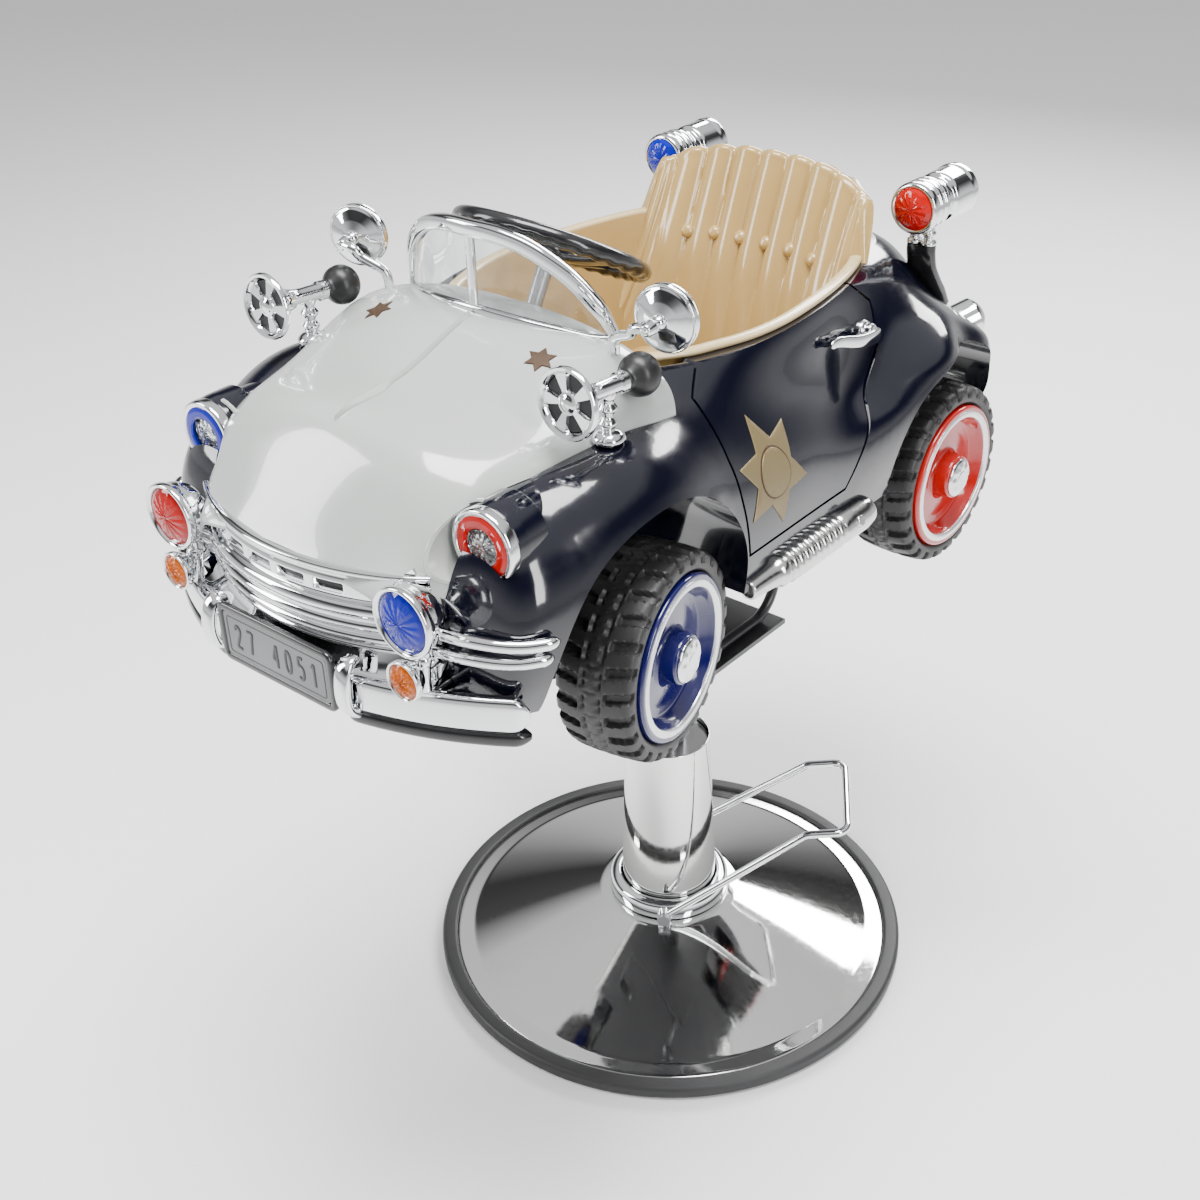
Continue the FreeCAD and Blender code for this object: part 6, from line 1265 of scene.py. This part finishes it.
DOORS = panel_tree("door_left", "body_shell")
LEAN = np.radians(-8)
BADGE_UP = np.array([0, math.sin(LEAN), math.cos(LEAN)])
BADGE_ACROSS = np.array([0, math.cos(LEAN), -math.sin(LEAN)])
BADGE_AT = np.array([0.238, -0.142, 0.800])


def on_door(flat, lifts):
    """A flat shape laid on the left door."""
    return laid_on(DOORS, flat, BADGE_AT, BADGE_ACROSS, BADGE_UP, (-1, 0, 0), lifts, 0.04)


for sign, side in SIDES:
    for part, flat, lifts, finish in (("star", star(0.0540, 0.0300), (0.0002, 0.0014), "badge_gold"),
                                      ("ring", oval(0.0245, 0.0245, count=48), (0.0010, 0.0019), "badge_dark"),
                                      ("face", oval(0.0228, 0.0228, count=48), (0.0014, 0.0024), "badge_gold")):
        build(f"badge_{part}_{side}", [on_side(on_door(flat, lifts), sign)], finish, body=f"{side}_door")

# %% [markdown]
# The hood carries a raised spear along its middle and a small star on each side; the spear's
# rows are cast straight down on to the panel, so that it follows the panel's crown.

# %% Hood spear and stars
HOOD = panel_tree("hood_shell")


def hood_height(x, y):
    """How high the hood's skin is above a point on the ground."""
    spot = HOOD.ray_cast(Vector((x, y, 1.2)), Vector((0, 0, -1)), 0.6)[0]
    return 0.9 if spot is None else spot[2]


def spear():
    """A thin crest that widens into a pointed head, higher along its middle."""
    along = np.linspace(-0.2870, -0.4570, 70)
    wide = np.interp(-along, [0.287, 0.388, 0.404, 0.428, 0.457], [0.0026, 0.0026, 0.0068, 0.0056, 0.0003])
    share = np.linspace(-1, 1, 9)
    rows = []
    for y, half_wide in zip(along, wide):
        level = np.array([hood_height(half_wide * part, y) for part in share])
        crest = level + 0.0006 + 0.0038 * (1 - np.abs(share)) ** 0.8
        low = grid(half_wide * share, y, level - 0.0012)
        rows.append(np.concatenate([grid(half_wide * share, y, crest), low[::-1]]))
    return surface(capped(np.stack(rows), 0), False, True)


build("hood_spear", [spear()], "hood_gloss", crease=50)
STAR_AT = np.array([0.102, -0.305, 0.938])
STAR_TURN = np.array([math.cos(0.35), math.sin(0.35), 0]), np.array([-math.sin(0.35), math.cos(0.35), 0])
small_star = laid_on(HOOD, star(0.0150, 0.0084), STAR_AT, *STAR_TURN, (0, 0, -1), (0.0002, 0.0010), 0.06)
build("hood_stars", both_sides([small_star]), "badge_dark")

# %% [markdown]
# Round each headlight the hood's sheet is turned in to meet the ring.  The collar is a small
# section at each turn round the lamp, set back to the skin that a ray finds there.

# %% Hood collars
def hood_collar():
    """The hood's edge turned in towards the headlight ring, from the panel's skin to the ring."""
    middle = np.array([0.172, 0, 0.840])
    rows = []
    for angle in np.radians(np.linspace(98, 236, 70)):
        out = np.array([math.cos(angle), 0, math.sin(angle)])
        edge = middle + out * 0.0385
        spot = HOOD.ray_cast(Vector((edge[0], -0.8, edge[2])), Vector((0, 1, 0)), 0.6)[0]
        front = -0.470 if spot is None else min(spot[1], -0.452)
        rows.append(np.array([middle + out * r + [0, y, 0] for r, y in (
            (0.0388, front + 0.0010), (0.0370, front + 0.0002), (0.0345, front + 0.0030), (0.0338, -0.4500),
            (0.0368, -0.4480), (0.0385, front + 0.0040))]))
    return [surface(capped(np.stack(rows), 0), False, True)]


build("hood_collars", both_sides(hood_collar()), "hood_gloss")

# %% [markdown]
# A door handle is a bent chrome paddle on a round boss.  Its two ends are found by casting
# sideways on to the door, and the paddle's path runs between them, off the skin.

# %% Door handles
def beside_door(y, z, off):
    """The point of the door's skin at a height, moved outwards."""
    spot = DOORS.ray_cast(Vector((0.5, y, z)), Vector((-1, 0, 0)), 0.5)[0]
    return np.array([spot[0] + off, y, z])


BOSS_AT, GRIP_TIP = beside_door(0.080, 0.854, 0.0), beside_door(0.004, 0.868, 0.010)
print("door handle from", BOSS_AT, "to", GRIP_TIP)


def handle():
    """A boss on the door and a paddle that runs forward from it, broad at the boss."""
    root = BOSS_AT - [0.014, 0, 0]
    boss = profile([(0, 0), (11.2, 0), (11.2, 16), (9.5, 18.5), (7, 19), (7, 26.5), (0, 27.5)], 2.2)
    route = through([BOSS_AT + [0.0095, 0.014, -0.002], BOSS_AT + [0.0125, 0, 0],
                     BOSS_AT + [0.0145, -0.030, 0.005],
                     GRIP_TIP + [0.001, 0.016, -0.001], GRIP_TIP], 36)
    wide = np.interp(np.linspace(0, 1, 36), [0, 0.1, 0.3, 0.75, 0.95, 1], [0.55, 0.95, 1.0, 0.72, 0.55, 0.30])
    return [lathe(boss, root, (1, 0, 0.25), 40), sweep(route, oval(0.0042, 0.0082, 0.75, 24), scale=wide)]


for sign, side in SIDES:
    build(f"handle_paddle_{side}", [on_side(part, sign) for part in handle()], "chrome", f"door_handle_{side}",
          f"{side}_door")
